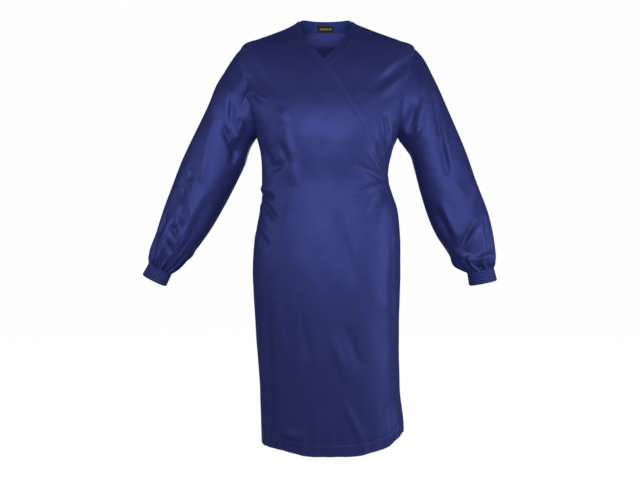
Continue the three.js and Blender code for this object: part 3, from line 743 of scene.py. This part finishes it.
def thread_material(name, colour):
    """Twisted sewing thread."""
    made, tree, shader = new_material(name)
    place_ = node(tree, "ShaderNodeTexCoord").outputs["Object"]
    twist = texture(tree, "Wave", Vector=place_, Scale=220.0, Distortion=2.0)
    tone = mix_colour(tree, twist, [v * 0.7 for v in colour] + [1], [*colour, 1])
    ridges = bump(tree, 0.4, 0.0001, twist)
    dress(tree, shader, Base_Color=tone, Normal=ridges, Roughness=0.5, Sheen_Weight=0.3)
    return made


def label_material(name, wide, high):
    """Black damask label with a woven gold border and a row of gold lozenges."""
    made, tree, shader = new_material(name)
    calc, mix, at = partial(maths, tree), partial(mix_colour, tree), cloth_place(tree)

    def band(value, centre, half):
        """1 where value is within half of centre."""
        return calc("LESS_THAN", calc("ABSOLUTE", calc("SUBTRACT", value, centre)), half)

    x, y, _ = node(tree, "ShaderNodeSeparateXYZ", Vector=at).outputs
    ax, ay = calc("ABSOLUTE", x), calc("ABSOLUTE", y)
    lines = []
    for off, size, run, length in ((ax, wide, ay, high), (ay, high, ax, wide)):
        ends = calc("LESS_THAN", run, (length / 2 - 1.4) * MM)
        lines.append(calc("MULTIPLY", band(off, (size / 2 - 1.6) * MM, 0.18 * MM), ends))
    border = calc("MULTIPLY", calc("MAXIMUM", *lines), 0.25)
    cell = calc("SUBTRACT", calc("PINGPONG", calc("ADD", x, 40 * MM), 1.6 * MM), 0.8 * MM)
    slope = calc("ADD", calc("ABSOLUTE", cell), calc("MULTIPLY", ay, 0.5))
    row = calc("MULTIPLY", calc("LESS_THAN", slope, 1.1 * MM), band(x, -2.5 * MM, 11 * MM))
    star_x = calc("ABSOLUTE", calc("SUBTRACT", x, 12.6 * MM))
    star = calc("LESS_THAN", calc("ADD", star_x, ay), 3.2 * MM)
    gold = calc("MAXIMUM", border, calc("MAXIMUM", row, star))
    weave = texture(tree, "Wave", Vector=at, Scale=150.0, Distortion=0.4)
    cloth = mix(weave, (0.004, 0.004, 0.004, 1), (0.012, 0.011, 0.010, 1))
    thread = mix(weave, (0.28, 0.17, 0.04, 1), (0.55, 0.38, 0.12, 1))
    dress(
        tree, shader, Base_Color=mix(gold, cloth, thread), Normal=bump(tree, 0.5, 0.0001, weave),
        Roughness=0.65, Specular_IOR_Level=0.25)
    return made


LUSTRE = 0.35  # share of the light that the satin face reflects in its own colour
NAVY = (0.032, 0.035, 0.16)
PALE = (0.055, 0.07, 0.26)
gown_cloth = twill("navy_satin_twill", NAVY, PALE)
facing_cloth = twill("navy_twill_facing", (0.024, 0.031, 0.15), PALE, roughness=0.6, sheen=0.4)
tape_cloth = twill("navy_twill_tape", NAVY, PALE, roughness=0.5, rib=0.6)
navy_thread = thread_material("navy_thread", (0.035, 0.045, 0.22))

# ---- Body panels ----
# Below, settle is what is done to a piece, and then to each row of its stitching: tied to a body that carries
# it, or only baked in place.


def hem_thickness(points):
    """The hem is turned up, so it is three layers thick."""
    return CLOTH * (1 + 1.3 * smooth(HEM_TURN + 2, HEM_TURN - 2, points[:, 2] - hem_z(points[:, 0])))


def rider(carrier):
    return lambda piece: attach(piece, carrier)


def wrap_blend(piece):
    """Bakes a piece of the right front into place in its mesh; it is not tied to any body."""
    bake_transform(piece)


def tie_blend(piece):
    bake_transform(piece)


def make_panel(name, outline, replaced, settle, size, lift, **grooves):
    """A panel of the body, with a row of stitching along each of its grooves."""
    lines = [even(line, 1.5) for line in grooves.values()]
    piece = panel(name, outline, gown_cloth, lift, grooves=lines, thick=hem_thickness)
    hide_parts(*replaced)
    settle(piece)
    loop = loop_of(outline, 4)
    for groove, line in zip(grooves, lines):
        points, normals = place(even(line[inside(line, loop)], 2.0), lift, lines)
        settle(stitches(f"{name}_{groove}_stitching", points + normals * THREAD_LIFT, normals))


def make_body():
    side_z = linspace(-WRAP_END_DROP - 24, hem_z(170), 300)
    side = flat(np.full(300, WRAP_EDGE_ANGLE), k_at(side_z))
    turn_up = np.array([0, HEM_TURN])
    make_panel(
        "right_front", outer_front_outline(), ("right_front_side", "right_front_wrap"), wrap_blend,
        (0.62, 1.06), lap, hem=hem_line(RIGHT_SEAM, WRAP_EDGE_ANGLE) - turn_up,
        edge=beside(OUTER_LINE, EDGE_STITCH), side=beside(side, EDGE_STITCH))
    make_panel(
        "left_front", inner_front_outline(), ("left_front_panel",), rider("gown"), (0.56, 1.06), 0.0,
        hem=hem_line(INNER_HEM_START, LEFT_SEAM) - turn_up, edge=beside(INNER_LINE, -FACING_STITCH))
    make_panel(
        "back", back_outline(), ("back_panel",), rider("gown"), (0.60, 1.06), 0.0,
        hem=hem_line(LEFT_SEAM, LEFT_SEAM + pi) - turn_up, neck=neckline_back() + [0, 14])


def strip_parts(line, width):
    other = beside(line, width)
    return [line, vstack([line[-1:], other[-1:]]), other[::-1], vstack([other[:1], line[:1]])]


def make_facings():
    """Facing strips inside the front edges and the back neck."""
    outer = beside(OUTER_LINE[OUTER_EDGE[:, 1] < -30], 0.8)
    inner = beside(INNER_LINE[2:], -0.8)
    neck = neckline_back()[4:-4] + [0, 1.0]
    for name, line, width, lift, size, replaced, settle, long in (
        ("right_front_edge_facing", outer, FACING_WIDTH, lap, 6, "right_front_facing", wrap_blend, 0.46),
        ("left_front_edge_facing", inner, -FACING_WIDTH, 0.0, 6, "left_front_facing", rider("gown"), 0.52),
        ("back_neck_band", neck, FACING_WIDTH, 0.0, 5, "back_neck_facing", rider("gown"), 0.24),
    ):
        piece = panel(name, strip_parts(line, width), facing_cloth, lift, size=size, drop=CLOTH + 0.35)
        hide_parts(replaced)
        settle(piece)


LABEL_WIDE, LABEL_HIGH, LABEL_TOP = 39, 17.5, 4


def make_label():
    """A woven label sewn inside the back neck by its two ends."""
    gx, gy = np.meshgrid(linspace(-1, 1, 25) * LABEL_WIDE / 2, linspace(1, -1, 13) * LABEL_HIGH / 2)
    x, k = gx - 2, k_at(LABEL_TOP - LABEL_HIGH / 2 + gy)
    out = np.clip(np.abs(x) / body(k)[..., 1], 0, 0.999)
    angle = np.arctan2(np.sign(x) * out, -((1 - out**POWER) ** (1 / POWER)))
    base, normal = form(angle, k), form_normal(angle, k)
    stand = 3.1 + 0.9 * cos(gx / LABEL_WIDE * pi) * cos(gy / LABEL_HIGH * pi * 0.6)
    points = base + normal * (drape(angle, k, base) - stand)[..., None]
    cloth = label_material("woven_label", LABEL_WIDE, LABEL_HIGH)
    faces, uv = grid_faces(*gx.shape, False), stack([gx, gy], -1)
    piece = cloth_object("neck_label_woven", points, faces, -normal, uv, cloth, LABEL_CLOTH)
    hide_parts("neck_label")
    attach(piece, "gown")
    for name, column in (("left", 1), ("right", -2)):
        line, up = points[:, column], -normal[:, column]
        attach(stitches(f"label_stitching_{name}", line + up * 0.2, up, LABEL_THREAD), "gown")

# ---- Sleeves ----

# [outer edge out, outer edge down, inner edge out, inner edge down, middle y, half depth], from the
# shoulder point. The last is where the cuff starts.
RIGHT_SLEEVE = [
    [38, 76, -34, 236, 2, 60], [73, 148, -25, 258, 4, 62], [108, 220, -18, 277, 5, 63],
    [149, 316, 27, 370, 4, 62], [184, 412, 76, 459, -6, 57], [202, 475, 117, 509, -16, 46],
    [207, 500, 138, 530, -21, 34], [207, 520, 158, 545, -24, 25],
]
LEFT_SLEEVE = [
    [44, 76, -31, 228, 2, 60], [78, 148, -17, 248, 4, 62], [111, 220, -9, 262, 5, 63],
    [147, 316, 16, 356, 4, 63], [178, 415, 53, 452, -6, 60], [188, 480, 84, 500, -15, 52],
    [188, 513, 93, 522, -20, 45], [184, 530, 126, 542, -24, 26],
]
# Folds of the sleeves' fronts in the same form as the body's.
RIGHT_SLEEVE_FOLDS = [
    [-266, -240, -284, -320, 10, 3.4], [-284, -320, -292, -390, 10, 3], [-250, -120, -268, -240, 12, 2.4],
    [-196, -236, -206, -274, 8, 4.5], [-206, -274, -232, -298, 9, 4], [-204, -300, -224, -346, 8, -4.5],
    [-240, -258, -212, -322, 9, -6], [-224, -190, -222, -250, 8, -4], [-232, -150, -228, -240, 9, 3],
    [-314, -352, -320, -384, 9, -3.6], [-340, -390, -332, -446, 7, -5], [-332, -446, -340, -488, 7, -4],
    [-322, -400, -318, -470, 10, 3.2], [-376, -458, -398, -520, 6, -5.5], [-398, -520, -410, -572, 5, -5],
    [-364, -470, -386, -540, 6, 4], [-358, -486, -348, -516, 7, -4.5], [-372, -524, -358, -556, 6, -4.5],
    [-346, -470, -338, -540, 8, 3.6], [-272, -428, -328, -544, 14, -4.5], [-292, -420, -340, -530, 9, 3],
]
LEFT_SLEEVE_FOLDS = [
    [222, -88, 232, -190, 10, 3.6], [232, -190, 214, -262, 10, 3.2], [256, -180, 270, -292, 8, -4.6],
    [270, -292, 285, -372, 8, -4.6], [270, -222, 290, -352, 8, 3.4], [178, -262, 204, -280, 8, 3.6],
    [204, -280, 224, -256, 8, 3.4], [204, -200, 196, -256, 10, -3.6], [252, -446, 292, -522, 10, -5.5],
    [272, -440, 304, -520, 8, 3.8], [312, -540, 344, -480, 7, -4.2], [330, -540, 356, -486, 8, 3.2],
    [296, -548, 344, -572, 7, 3.6], [344, -572, 390, -556, 7, 3.6], [352, -400, 344, -470, 10, -2.8],
    [372, -470, 384, -560, 7, -3.6], [300, -380, 330, -440, 14, 2.2],
]
TUBE_COLS = 168
TUBE_ROWS = 168
SQUARE = 0.84  # 1 makes the sleeve's section an ellipse; less flattens its front and back
HEAD_RINGS = ((-3.0, 1.6), (0.4, 0.7))  # the seam: inset from the armhole, depth under the panel
HEAD_START = ((0.11, 0.6), (0.22, 1.0))  # how the sleeve leaves its seam: share of the way, rise
HEAD_SWELL = {-1: 3, 1: 5}  # how far its top puffs out, on the right and on the left
SPLIT = 0.42  # where along the sleeve its upper and lower meshes meet


def station(side, row):
    out_x, out_down, in_x, in_down, y, depth = row
    outer = np.array([side * (SHOULDER_HALF + out_x), y, -SHOULDER_DROP - out_down], float)
    inner = np.array([side * (SHOULDER_HALF + in_x), y, -SHOULDER_DROP - in_down], float)
    out = (outer - inner) / 2
    half = np.linalg.norm(out)
    out = out / half
    down = np.array([side * out[2], 0, -side * out[0]])
    return {"middle": (outer + inner) / 2, "out": out, "half": half, "depth": depth, "down": down}


def squared(wave):
    return np.sign(wave) * np.abs(wave) ** SQUARE


def sleeve_grid(side, stations):
    """Rings down the sleeve: it starts under the armhole's edge and ends inside the cuff."""
    turns = linspace(0, 2 * pi, TUBE_COLS, endpoint=False)
    rings = []
    for inset, sink in HEAD_RINGS:
        points, normals = place(armhole(side, turns, inset), lap if side < 0 else 0.0)
        rings.append(points - normals * sink)
    for row in stations:
        s = station(side, row)
        ring = s["middle"] + np.outer(squared(cos(turns)) * s["half"], s["out"])
        ring[:, 1] -= s["depth"] * squared(sin(turns))
        if row is stations[0]:
            start = rings[-1]
            swell = np.outer(np.maximum(cos(turns), 0), s["out"]) * HEAD_SWELL[side]
            rings += [start * (1 - t) + ring * t + swell * rise for t, rise in HEAD_START]
        rings.append(ring)
    rings.append(rings[-1] * 0.98 + s["middle"] * 0.02 + s["down"] * 7)
    rings = np.array(rings)
    knots = running(np.linalg.norm(np.diff(rings, axis=0), axis=-1).mean(1))
    at = linspace(0, knots[-1], TUBE_ROWS)
    return cubic(rings, np.gradient(rings, knots, axis=0), knots, at), turns, at / knots[-1]


SLEEVE_FOLD, REAR_FOLD = (1.45, 1.05), (1.3, 1.1)  # gain and spread of the sleeves' folds
PLEAT_HIGH, GROOVE_DEEP = 3.6, 4.2  # the gathers above the cuff


def sleeve_drape(p, normals, turns, share, side):
    """How far the sleeve's cloth stands off its plain tube: folds, gathers above the cuff and slack."""
    x, z = p[..., 0], p[..., 2]
    ahead = smooth(-0.05, 0.35, -normals[..., 1])
    behind = smooth(-0.05, 0.35, normals[..., 1])
    front, rear = (RIGHT_SLEEVE_FOLDS, LEFT_SLEEVE_FOLDS)[::-side]
    free = smooth(0.02, 0.10, share)[:, None] * smooth(1.0, 0.93, share)[:, None]
    d = ahead * folds(x, z, front, *SLEEVE_FOLD) + 0.8 * behind * folds(-x, z, rear, *REAR_FOLD)
    d = d * free
    turn, along = np.meshgrid(turns, share)
    start = 0.74 if side < 0 else 0.84
    depth = smooth(start, 0.955, along) * (1 - 0.65 * smooth(0.965, 0.99, along))
    shift = 0.35 * sin(along * 9 + side)
    pleat = cos(14 * turn + shift * 5 + 0.9 * sin(3 * turn))
    pleat = pleat + 0.55 * cos(23 * turn - shift * 7 + 1.1)
    d += PLEAT_HIGH * depth * (pleat * 0.5 + 0.25 * np.abs(pleat))
    wander = 15 * turn + 1.2 * sin(2 * turn + side) + 0.5 * sin(along * 60)
    groove = exp(-(1 + cos(wander)) / 0.22)
    groove_start = 0.885 + 0.035 * sin(5 * turn + side)
    d -= GROOVE_DEEP * groove * smooth(0, 0.06, along - groove_start) * smooth(1.0, 0.985, along)
    slack = [[190, 520, side, 1.1], [95, -330, 1.4 + side, 0.6], [55, 160, 3.1, 0.3]]
    d += free * waves(turn * 60, along * 560, slack)
    under = exp(-(((np.abs(np.mod(turn, 2 * pi) - pi)) * 60 / 2.6) ** 2))
    return d - 0.7 * under * free


def blend_along(piece):
    """Bakes a sleeve piece into place in its mesh; it is not tied to any body."""
    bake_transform(piece)


def make_sleeve(name, side, stations):
    p, turns, share = sleeve_grid(side, stations)
    n = tube_normals(p)
    p = p + n * sleeve_drape(p, n, turns, share, side)[..., None]
    n = tube_normals(p)
    uv = grid_flat(np.concatenate([p, p[:, :1]], 1))[:, :-1]
    cut = int(SPLIT * len(share))
    pieces = []
    for part, rows in (("upper", slice(0, cut + 1)), ("lower", slice(cut, None))):
        faces = grid_faces(len(p[rows]), len(turns), True)
        piece = cloth_object(
            f"{name}_sleeve_{part}_cloth", p[rows], faces, n[rows], uv[rows], gown_cloth, SLEEVE_CLOTH)
        keep_normals(piece, n[rows].reshape(-1, 3))
        pieces.append(piece)
    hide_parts(f"{name}_sleeve_head")
    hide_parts(f"{name}_sleeve_upper", f"{name}_sleeve_lower")
    blend_along(pieces[0])
    blend_along(pieces[1])


def keep_normals(piece, normals):
    """Holds the outer surface's shading to the whole sleeve's, so that its two parts meet unseen."""
    mesh = piece.data
    count = len(normals)
    current = np.zeros(len(mesh.vertices) * 3, np.float32)
    mesh.vertices.foreach_get("normal", current)
    current = current.reshape(-1, 3)
    current[:count] = normals
    mesh.normals_split_custom_set_from_vertices(current.tolist())


CUFF_HIGH = 29
CUFF_ROWS = 5
CUFF_COLS = 192
CUFF_STEPS = 46


def make_cuff(name, side, stations):
    """A shirred cuff: cloth doubled over elastic, drawn up by rows of stitching."""
    top = station(side, stations[-1])
    turns = linspace(0, 2 * pi, CUFF_COLS, endpoint=False)
    flute = 0.5 + 0.3 * cos(34 * turns + 2 * sin(5 * turns)) + 0.2 * cos(57 * turns + 1)

    def ring(drop, inset):
        flare = 1 + 0.05 * drop / CUFF_HIGH
        p = top["middle"] + top["down"] * drop
        p = p + np.outer(cos(turns) * (top["half"] * flare - inset), top["out"])
        p[:, 1] -= (top["depth"] * flare - inset) * sin(turns)
        return p

    def bulge(s):
        """The cloth puffs out between two rows of stitching."""
        return np.abs(sin(pi * CUFF_ROWS * s)) ** 0.7

    rings = []
    for s in linspace(0, 1, CUFF_STEPS):
        stand = 1.2 + bulge(s) * 0.7 + flute * (0.5 + 0.9 * bulge(s))
        rings.append(ring(-2 + s * (CUFF_HIGH + 2), -stand + 0.5 * smooth(0.9, 1, s)))
    for drop, inset in ((CUFF_HIGH + 1.0, 0.2), (CUFF_HIGH + 0.4, 2.0), (CUFF_HIGH - 4, 2.6 + 0.6 * flute)):
        rings.append(ring(drop, inset))
    for s in linspace(0.8, 0, 16):
        rings.append(ring(s * CUFF_HIGH - 1, 2.6 + flute * (0.3 + 0.6 * bulge(s))))
    rings.append(ring(-2.6, 1.0))
    grid, rows, cols = np.array(rings), len(rings), CUFF_COLS
    i, j = np.divmod(np.arange(rows * cols), cols)
    below, across = (i + 1) % rows * cols, (j + 1) % cols
    quads = stack([i * cols + j, i * cols + across, below + across, below + j], 1)
    centre = top["middle"] + top["down"] * CUFF_HIGH / 2
    a, b, c = grid[10, 0], grid[10, 1], grid[11, 1]
    if np.dot(np.cross(b - a, c - a), a - centre) < 0:
        quads = quads[:, ::-1]
    piece = mesh_object(f"{name}_cuff_cloth", grid.reshape(-1, 3), quads.tolist(), gown_cloth)
    u = turns * (top["half"] + top["depth"]) / 2 * 1.4
    uv = stack(np.meshgrid(u, np.arange(rows) * CUFF_HIGH / CUFF_STEPS), -1).reshape(-1, 2)
    worn = np.repeat(0.25 * exp(-(((np.arange(rows) - CUFF_STEPS) / 2.5) ** 2)), cols)
    finish_mesh(piece, uv, worn, np.zeros(rows * cols))
    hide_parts(f"{name}_cuff", f"{name}_cuff_elastic")
    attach(piece, f"{name}_lower_arm")
    girth = 2 * pi * math.sqrt((top["half"] ** 2 + top["depth"] ** 2) / 2) * MM
    piece["cloth_area"] = girth * 1.2 * CUFF_HIGH * MM
    for row in range(1, CUFF_ROWS):
        drop = -2 + row / CUFF_ROWS * (CUFF_HIGH + 2)
        line = ring(drop, -1.5 - 0.5 * flute)
        line = vstack([line, line[:1]])
        up = unit(line - (top["middle"] + top["down"] * drop))
        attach(stitches(f"{name}_cuff_stitching_{row}", line, up, CUFF_THREAD), f"{name}_lower_arm")


# ---- Ties ----


def strap(name, path, out, wide, settle, crown=0.5, slant=0.0):
    """A flat tie along a path, stitched along both sides. out is the way its face looks, and slant cuts
    its end on the bias."""
    cols = 9
    along = unit(np.gradient(path, axis=0))
    out = unit(out - along * (out * along).sum(1, keepdims=True))
    across = np.cross(along, out)
    wide = np.broadcast_to(wide, (len(path),))
    t = linspace(-1, 1, cols)
    s = linspace(0, 1, len(path))
    rise = crown * (1 - t**2) + 0.35 * sin(s * len(path) * 0.9)[:, None] * t**2
    grid = path[:, None] + across[:, None] * (t * wide[:, None] / 2)[..., None]
    grid = grid + out[:, None] * rise[..., None]
    grid += along[:, None] * (slant * t * smooth(0.97, 1, s)[:, None])[..., None]
    normals = np.repeat(out[:, None], cols, 1)
    faces, worn = grid_faces(len(path), cols, False), np.tile(np.abs(t) ** 8 * 0.5, len(path))
    piece = cloth_object(name, grid, faces, normals, grid_flat(grid), tape_cloth, TIE_CLOTH, worn)
    settle(piece)
    for row, column in ((1, 1), (2, cols - 2)):
        line, up = grid[:, column] + normals[:, column] * THREAD_LIFT, normals[:, column]
        settle(stitches(f"{name.removesuffix('_cloth')}_stitching_{row}", line, up, TIE_THREAD))
    return piece


def round_tie(name, angles, z, stand, settle):
    """A tie lying round the body from an angle to the knot, standing off the draped cloth."""
    points, normals = place(flat(angles, k_at(z)))
    return strap(name, points + normals * stand[:, None], normals, TIE_WIDTH, settle)


def smooth_path(p, times):
    for _ in range(times):
        p = vstack([p[:1], (p[:-2] + 2 * p[1:-1] + p[2:]) / 4, p[-1:]])
    return p


def make_ties():
    low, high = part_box("tie_knot")
    centre = np.array((low + high) / 2) / MM
    angles = linspace(radians(84), radians(178), 70)
    stand = 1.6 + 1.5 * smooth(0.85, 1, linspace(0, 1, 70))
    outer = round_tie("right_front_waist_tie", angles, tie_z(angles), stand, tie_blend)
    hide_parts("right_front_tie")

    angles = linspace(radians(-76), radians(-178), 80)
    through = smooth(radians(-84), radians(-97), angles)  # out through the slit in the seam
    stand = -5 + 7.4 * through + 2.4 * smooth(0.85, 1, linspace(0, 1, 80))
    height = np.where(angles > radians(-95), -SLIT_DROP - 3.8, tie_z(angles))
    height = smooth_path(height[:, None], 8)[:, 0]
    inner = round_tie("left_front_waist_tie", angles, height, stand, rider("gown"))
    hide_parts("left_front_tie")
    make_knot(centre)
    for name, side in (("right", -1), ("left", 1)):
        make_loop(name, side, centre)
        make_tail(name, side, centre)


def make_knot(centre):
    """The knot: one turn of the tie pulled tight round the other."""
    turn = linspace(0, 2 * pi, 49)[:-1]
    t = linspace(-1, 1, 17)
    b, a = np.meshgrid(t, turn, indexing="ij")
    pinch = 1 - 0.22 * cos(2 * a)
    creases = 0.5 * sin(9 * b + 3 * sin(a))
    radius_y = 6.6 - 2.6 * np.abs(b) ** 3 + creases
    radius_z = 11.5 - 3.4 * np.abs(b) ** 3 + creases
    grid = stack([b * 12.5 * pinch, radius_y * cos(a), radius_z * sin(a)], -1) + centre
    uv = stack(np.meshgrid(turn * 10, t * 12), -1)
    worn = np.full(b.size, 0.25)
    faces, normals = grid_faces(17, 48, True), tube_normals(grid)
    piece = cloth_object("waist_knot", grid, faces, normals, uv, tape_cloth, KNOT_CLOTH, worn)
    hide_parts("tie_knot")
    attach(piece, "gown")


def make_loop(name, side, centre):
    """A bow loop: out from the knot, round and back."""
    turn = np.radians(linspace(12, 348, 60))
    out = 46 * (1 - cos(turn))
    swell = 13 * sin(turn) * sin(turn / 2)
    z = centre[2] - out * 0.42 - 3 * sin(turn) ** 2
    path = stack([centre[0] + side * (9 + out), centre[1] + 3 - swell, z], 1)
    face = stack([side * -cos(turn), -sin(turn), 0.42 * cos(turn)], 1)
    wide = TIE_WIDTH * (0.5 + 0.45 * sin(turn / 2) ** 0.8)
    piece = strap(f"{name}_bow_loop_cloth", path, -side * face, wide, rider("gown"), crown=0.8)
    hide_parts(f"{name}_bow_loop")


def make_tail(name, side, centre):
    """A tail: pinched at the knot, hanging down the back of the skirt with a slight wave."""
    low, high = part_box(f"{name}_tie_tail")
    long = (high[2] - low[2]) / MM
    drop = linspace(0, long, 90)
    z = high[2] / MM - drop
    spread = smooth(0, 60, drop)
    x = side * (4 + 13 * spread + drop * 0.11) + 1.6 * sin(drop / 47 + side) * spread
    points, _ = place(flat(np.full_like(z, pi) - np.arctan2(x, 110), k_at(z)))
    y = np.maximum(points[:, 1] + 3.5, centre[1] - 0.6) + 2.2 * sin(drop / 33 + 1) * spread
    path = smooth_path(stack([x, np.maximum(y, points[:, 1] + 2.4), z], 1), 6)
    wide = 8 + (TIE_WIDTH - 8) * spread
    twist = 0.25 * sin(drop / 70 + side) * spread
    face = stack([sin(twist), cos(twist), 0 * twist], 1)
    piece = strap(f"{name}_tail_cloth", path, face, wide, rider(f"{name}_tail"), crown=0.6, slant=5.0)
    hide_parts(f"{name}_tie_tail")


# ---- Studio ----

CHEST, MIDDLE = (0, 0, -0.2), (0, 0, -0.45)
# [name, place, aim, size, watts, spread in degrees]
LIGHTS = [
    ["key", (0, -1.7, -0.13), CHEST, (2.5, 0.34), 11.3, 120],
    ["brow", (0, -2.4, 0.42), CHEST, (1.1, 0.8), 4.5, 180],
    ["left_side", (2.0, -0.65, -0.5), MIDDLE, (0.5, 0.8), 15, 180],
    ["right_side", (-2.0, -0.6, -0.1), MIDDLE, (0.7, 0.7), 7, 180],
    ["behind", (0.3, 2.6, 0.2), MIDDLE, (1.2, 1.2), 32, 180],
]


def in_scene(name, data):
    made = bpy.data.objects.new(name, data)
    bpy.context.scene.collection.objects.link(made)
    return made


def make_camera():
    camera = in_scene("camera", bpy.data.cameras.new("camera"))
    distance, wide = 2.3, 1.536  # how far away it stands and how much it takes in there
    camera.location = (-0.0144, -distance, -0.523)
    camera.rotation_euler = (pi / 2, 0, 0)
    camera.data.sensor_width = 36
    camera.data.lens = 36 * distance / wide
    bpy.context.scene.camera = camera


def make_floor():
    """A pale floor swept up behind into a backdrop, which the camera sees as nearly white."""
    floor_z = REST_BOX[0][2] - 0.02
    floor, tree, shader = new_material("studio_floor")
    grain = texture(tree, "Noise", Scale=3.0)
    dress(tree, shader, Roughness=0.9,
          Base_Color=mix_colour(tree, grain, (0.39, 0.39, 0.39, 1), (0.41, 0.41, 0.41, 1)))
    seen = node(tree, "ShaderNodeLightPath").outputs["Is Camera Ray"]
    glow = node(tree, "ShaderNodeEmission", Color=(1, 1, 1, 1), Strength=1.06).outputs[0]
    both = tree.nodes.new("ShaderNodeMixShader")
    for socket, value in zip(both.inputs, (maths(tree, "MULTIPLY", seen, 0.93), shader.outputs[0], glow)):
        connect(tree, socket, value)
    connect(tree, tree.nodes["Material Output"].inputs["Surface"], both.outputs[0])
    turn = linspace(0, pi / 2, 24)
    curve = [(4 + 3 * math.sin(a), floor_z + 3 * (1 - math.cos(a))) for a in turn]
    run = [(-8, floor_z), *curve, (7, floor_z + 12)]
    mesh = bpy.data.meshes.new("floor")
    faces = [(2 * i, 2 * i + 1, 2 * i + 3, 2 * i + 2) for i in range(len(run) - 1)]
    mesh.from_pydata([(x, y, z) for y, z in run for x in (-14, 14)], [], faces)
    mesh.polygons.foreach_set("use_smooth", np.ones(len(mesh.polygons), bool))
    mesh.materials.append(floor)
    in_scene("floor", mesh)


def make_lights():
    """A white surround that lights little, and soft lights near the camera, at the sides and behind."""
    world = bpy.data.worlds.new("studio")
    bpy.context.scene.world = world
    world.use_nodes = True
    tree = world.node_tree
    seen = node(tree, "ShaderNodeLightPath").outputs["Is Camera Ray"]
    level = maths(tree, "ADD", maths(tree, "MULTIPLY", seen, 0.95), 0.05)
    dress(tree, tree.nodes["Background"], Strength=level, Color=(1, 1, 1, 1))
    for name, place_, aim, size, power, spread in LIGHTS:
        made = in_scene(name, bpy.data.lights.new(name, "AREA"))
        made.data.shape = "RECTANGLE"
        made.data.size, made.data.size_y = size
        made.data.energy = power
        made.data.spread = radians(spread)
        made.visible_camera = False
        made.location = place_
        made.rotation_euler = (Vector(aim) - Vector(place_)).to_track_quat("-Z", "Y").to_euler()
    bpy.context.scene.view_settings.view_transform = "Standard"


make_camera()
make_floor()
make_lights()
make_body()
make_facings()
make_label()
for side_name, side_sign, rows_ in (("right", -1, RIGHT_SLEEVE), ("left", 1, LEFT_SLEEVE)):
    make_sleeve(side_name, side_sign, rows_)
    make_cuff(side_name, side_sign, rows_)
make_ties()

bpy.context.view_layer.update()
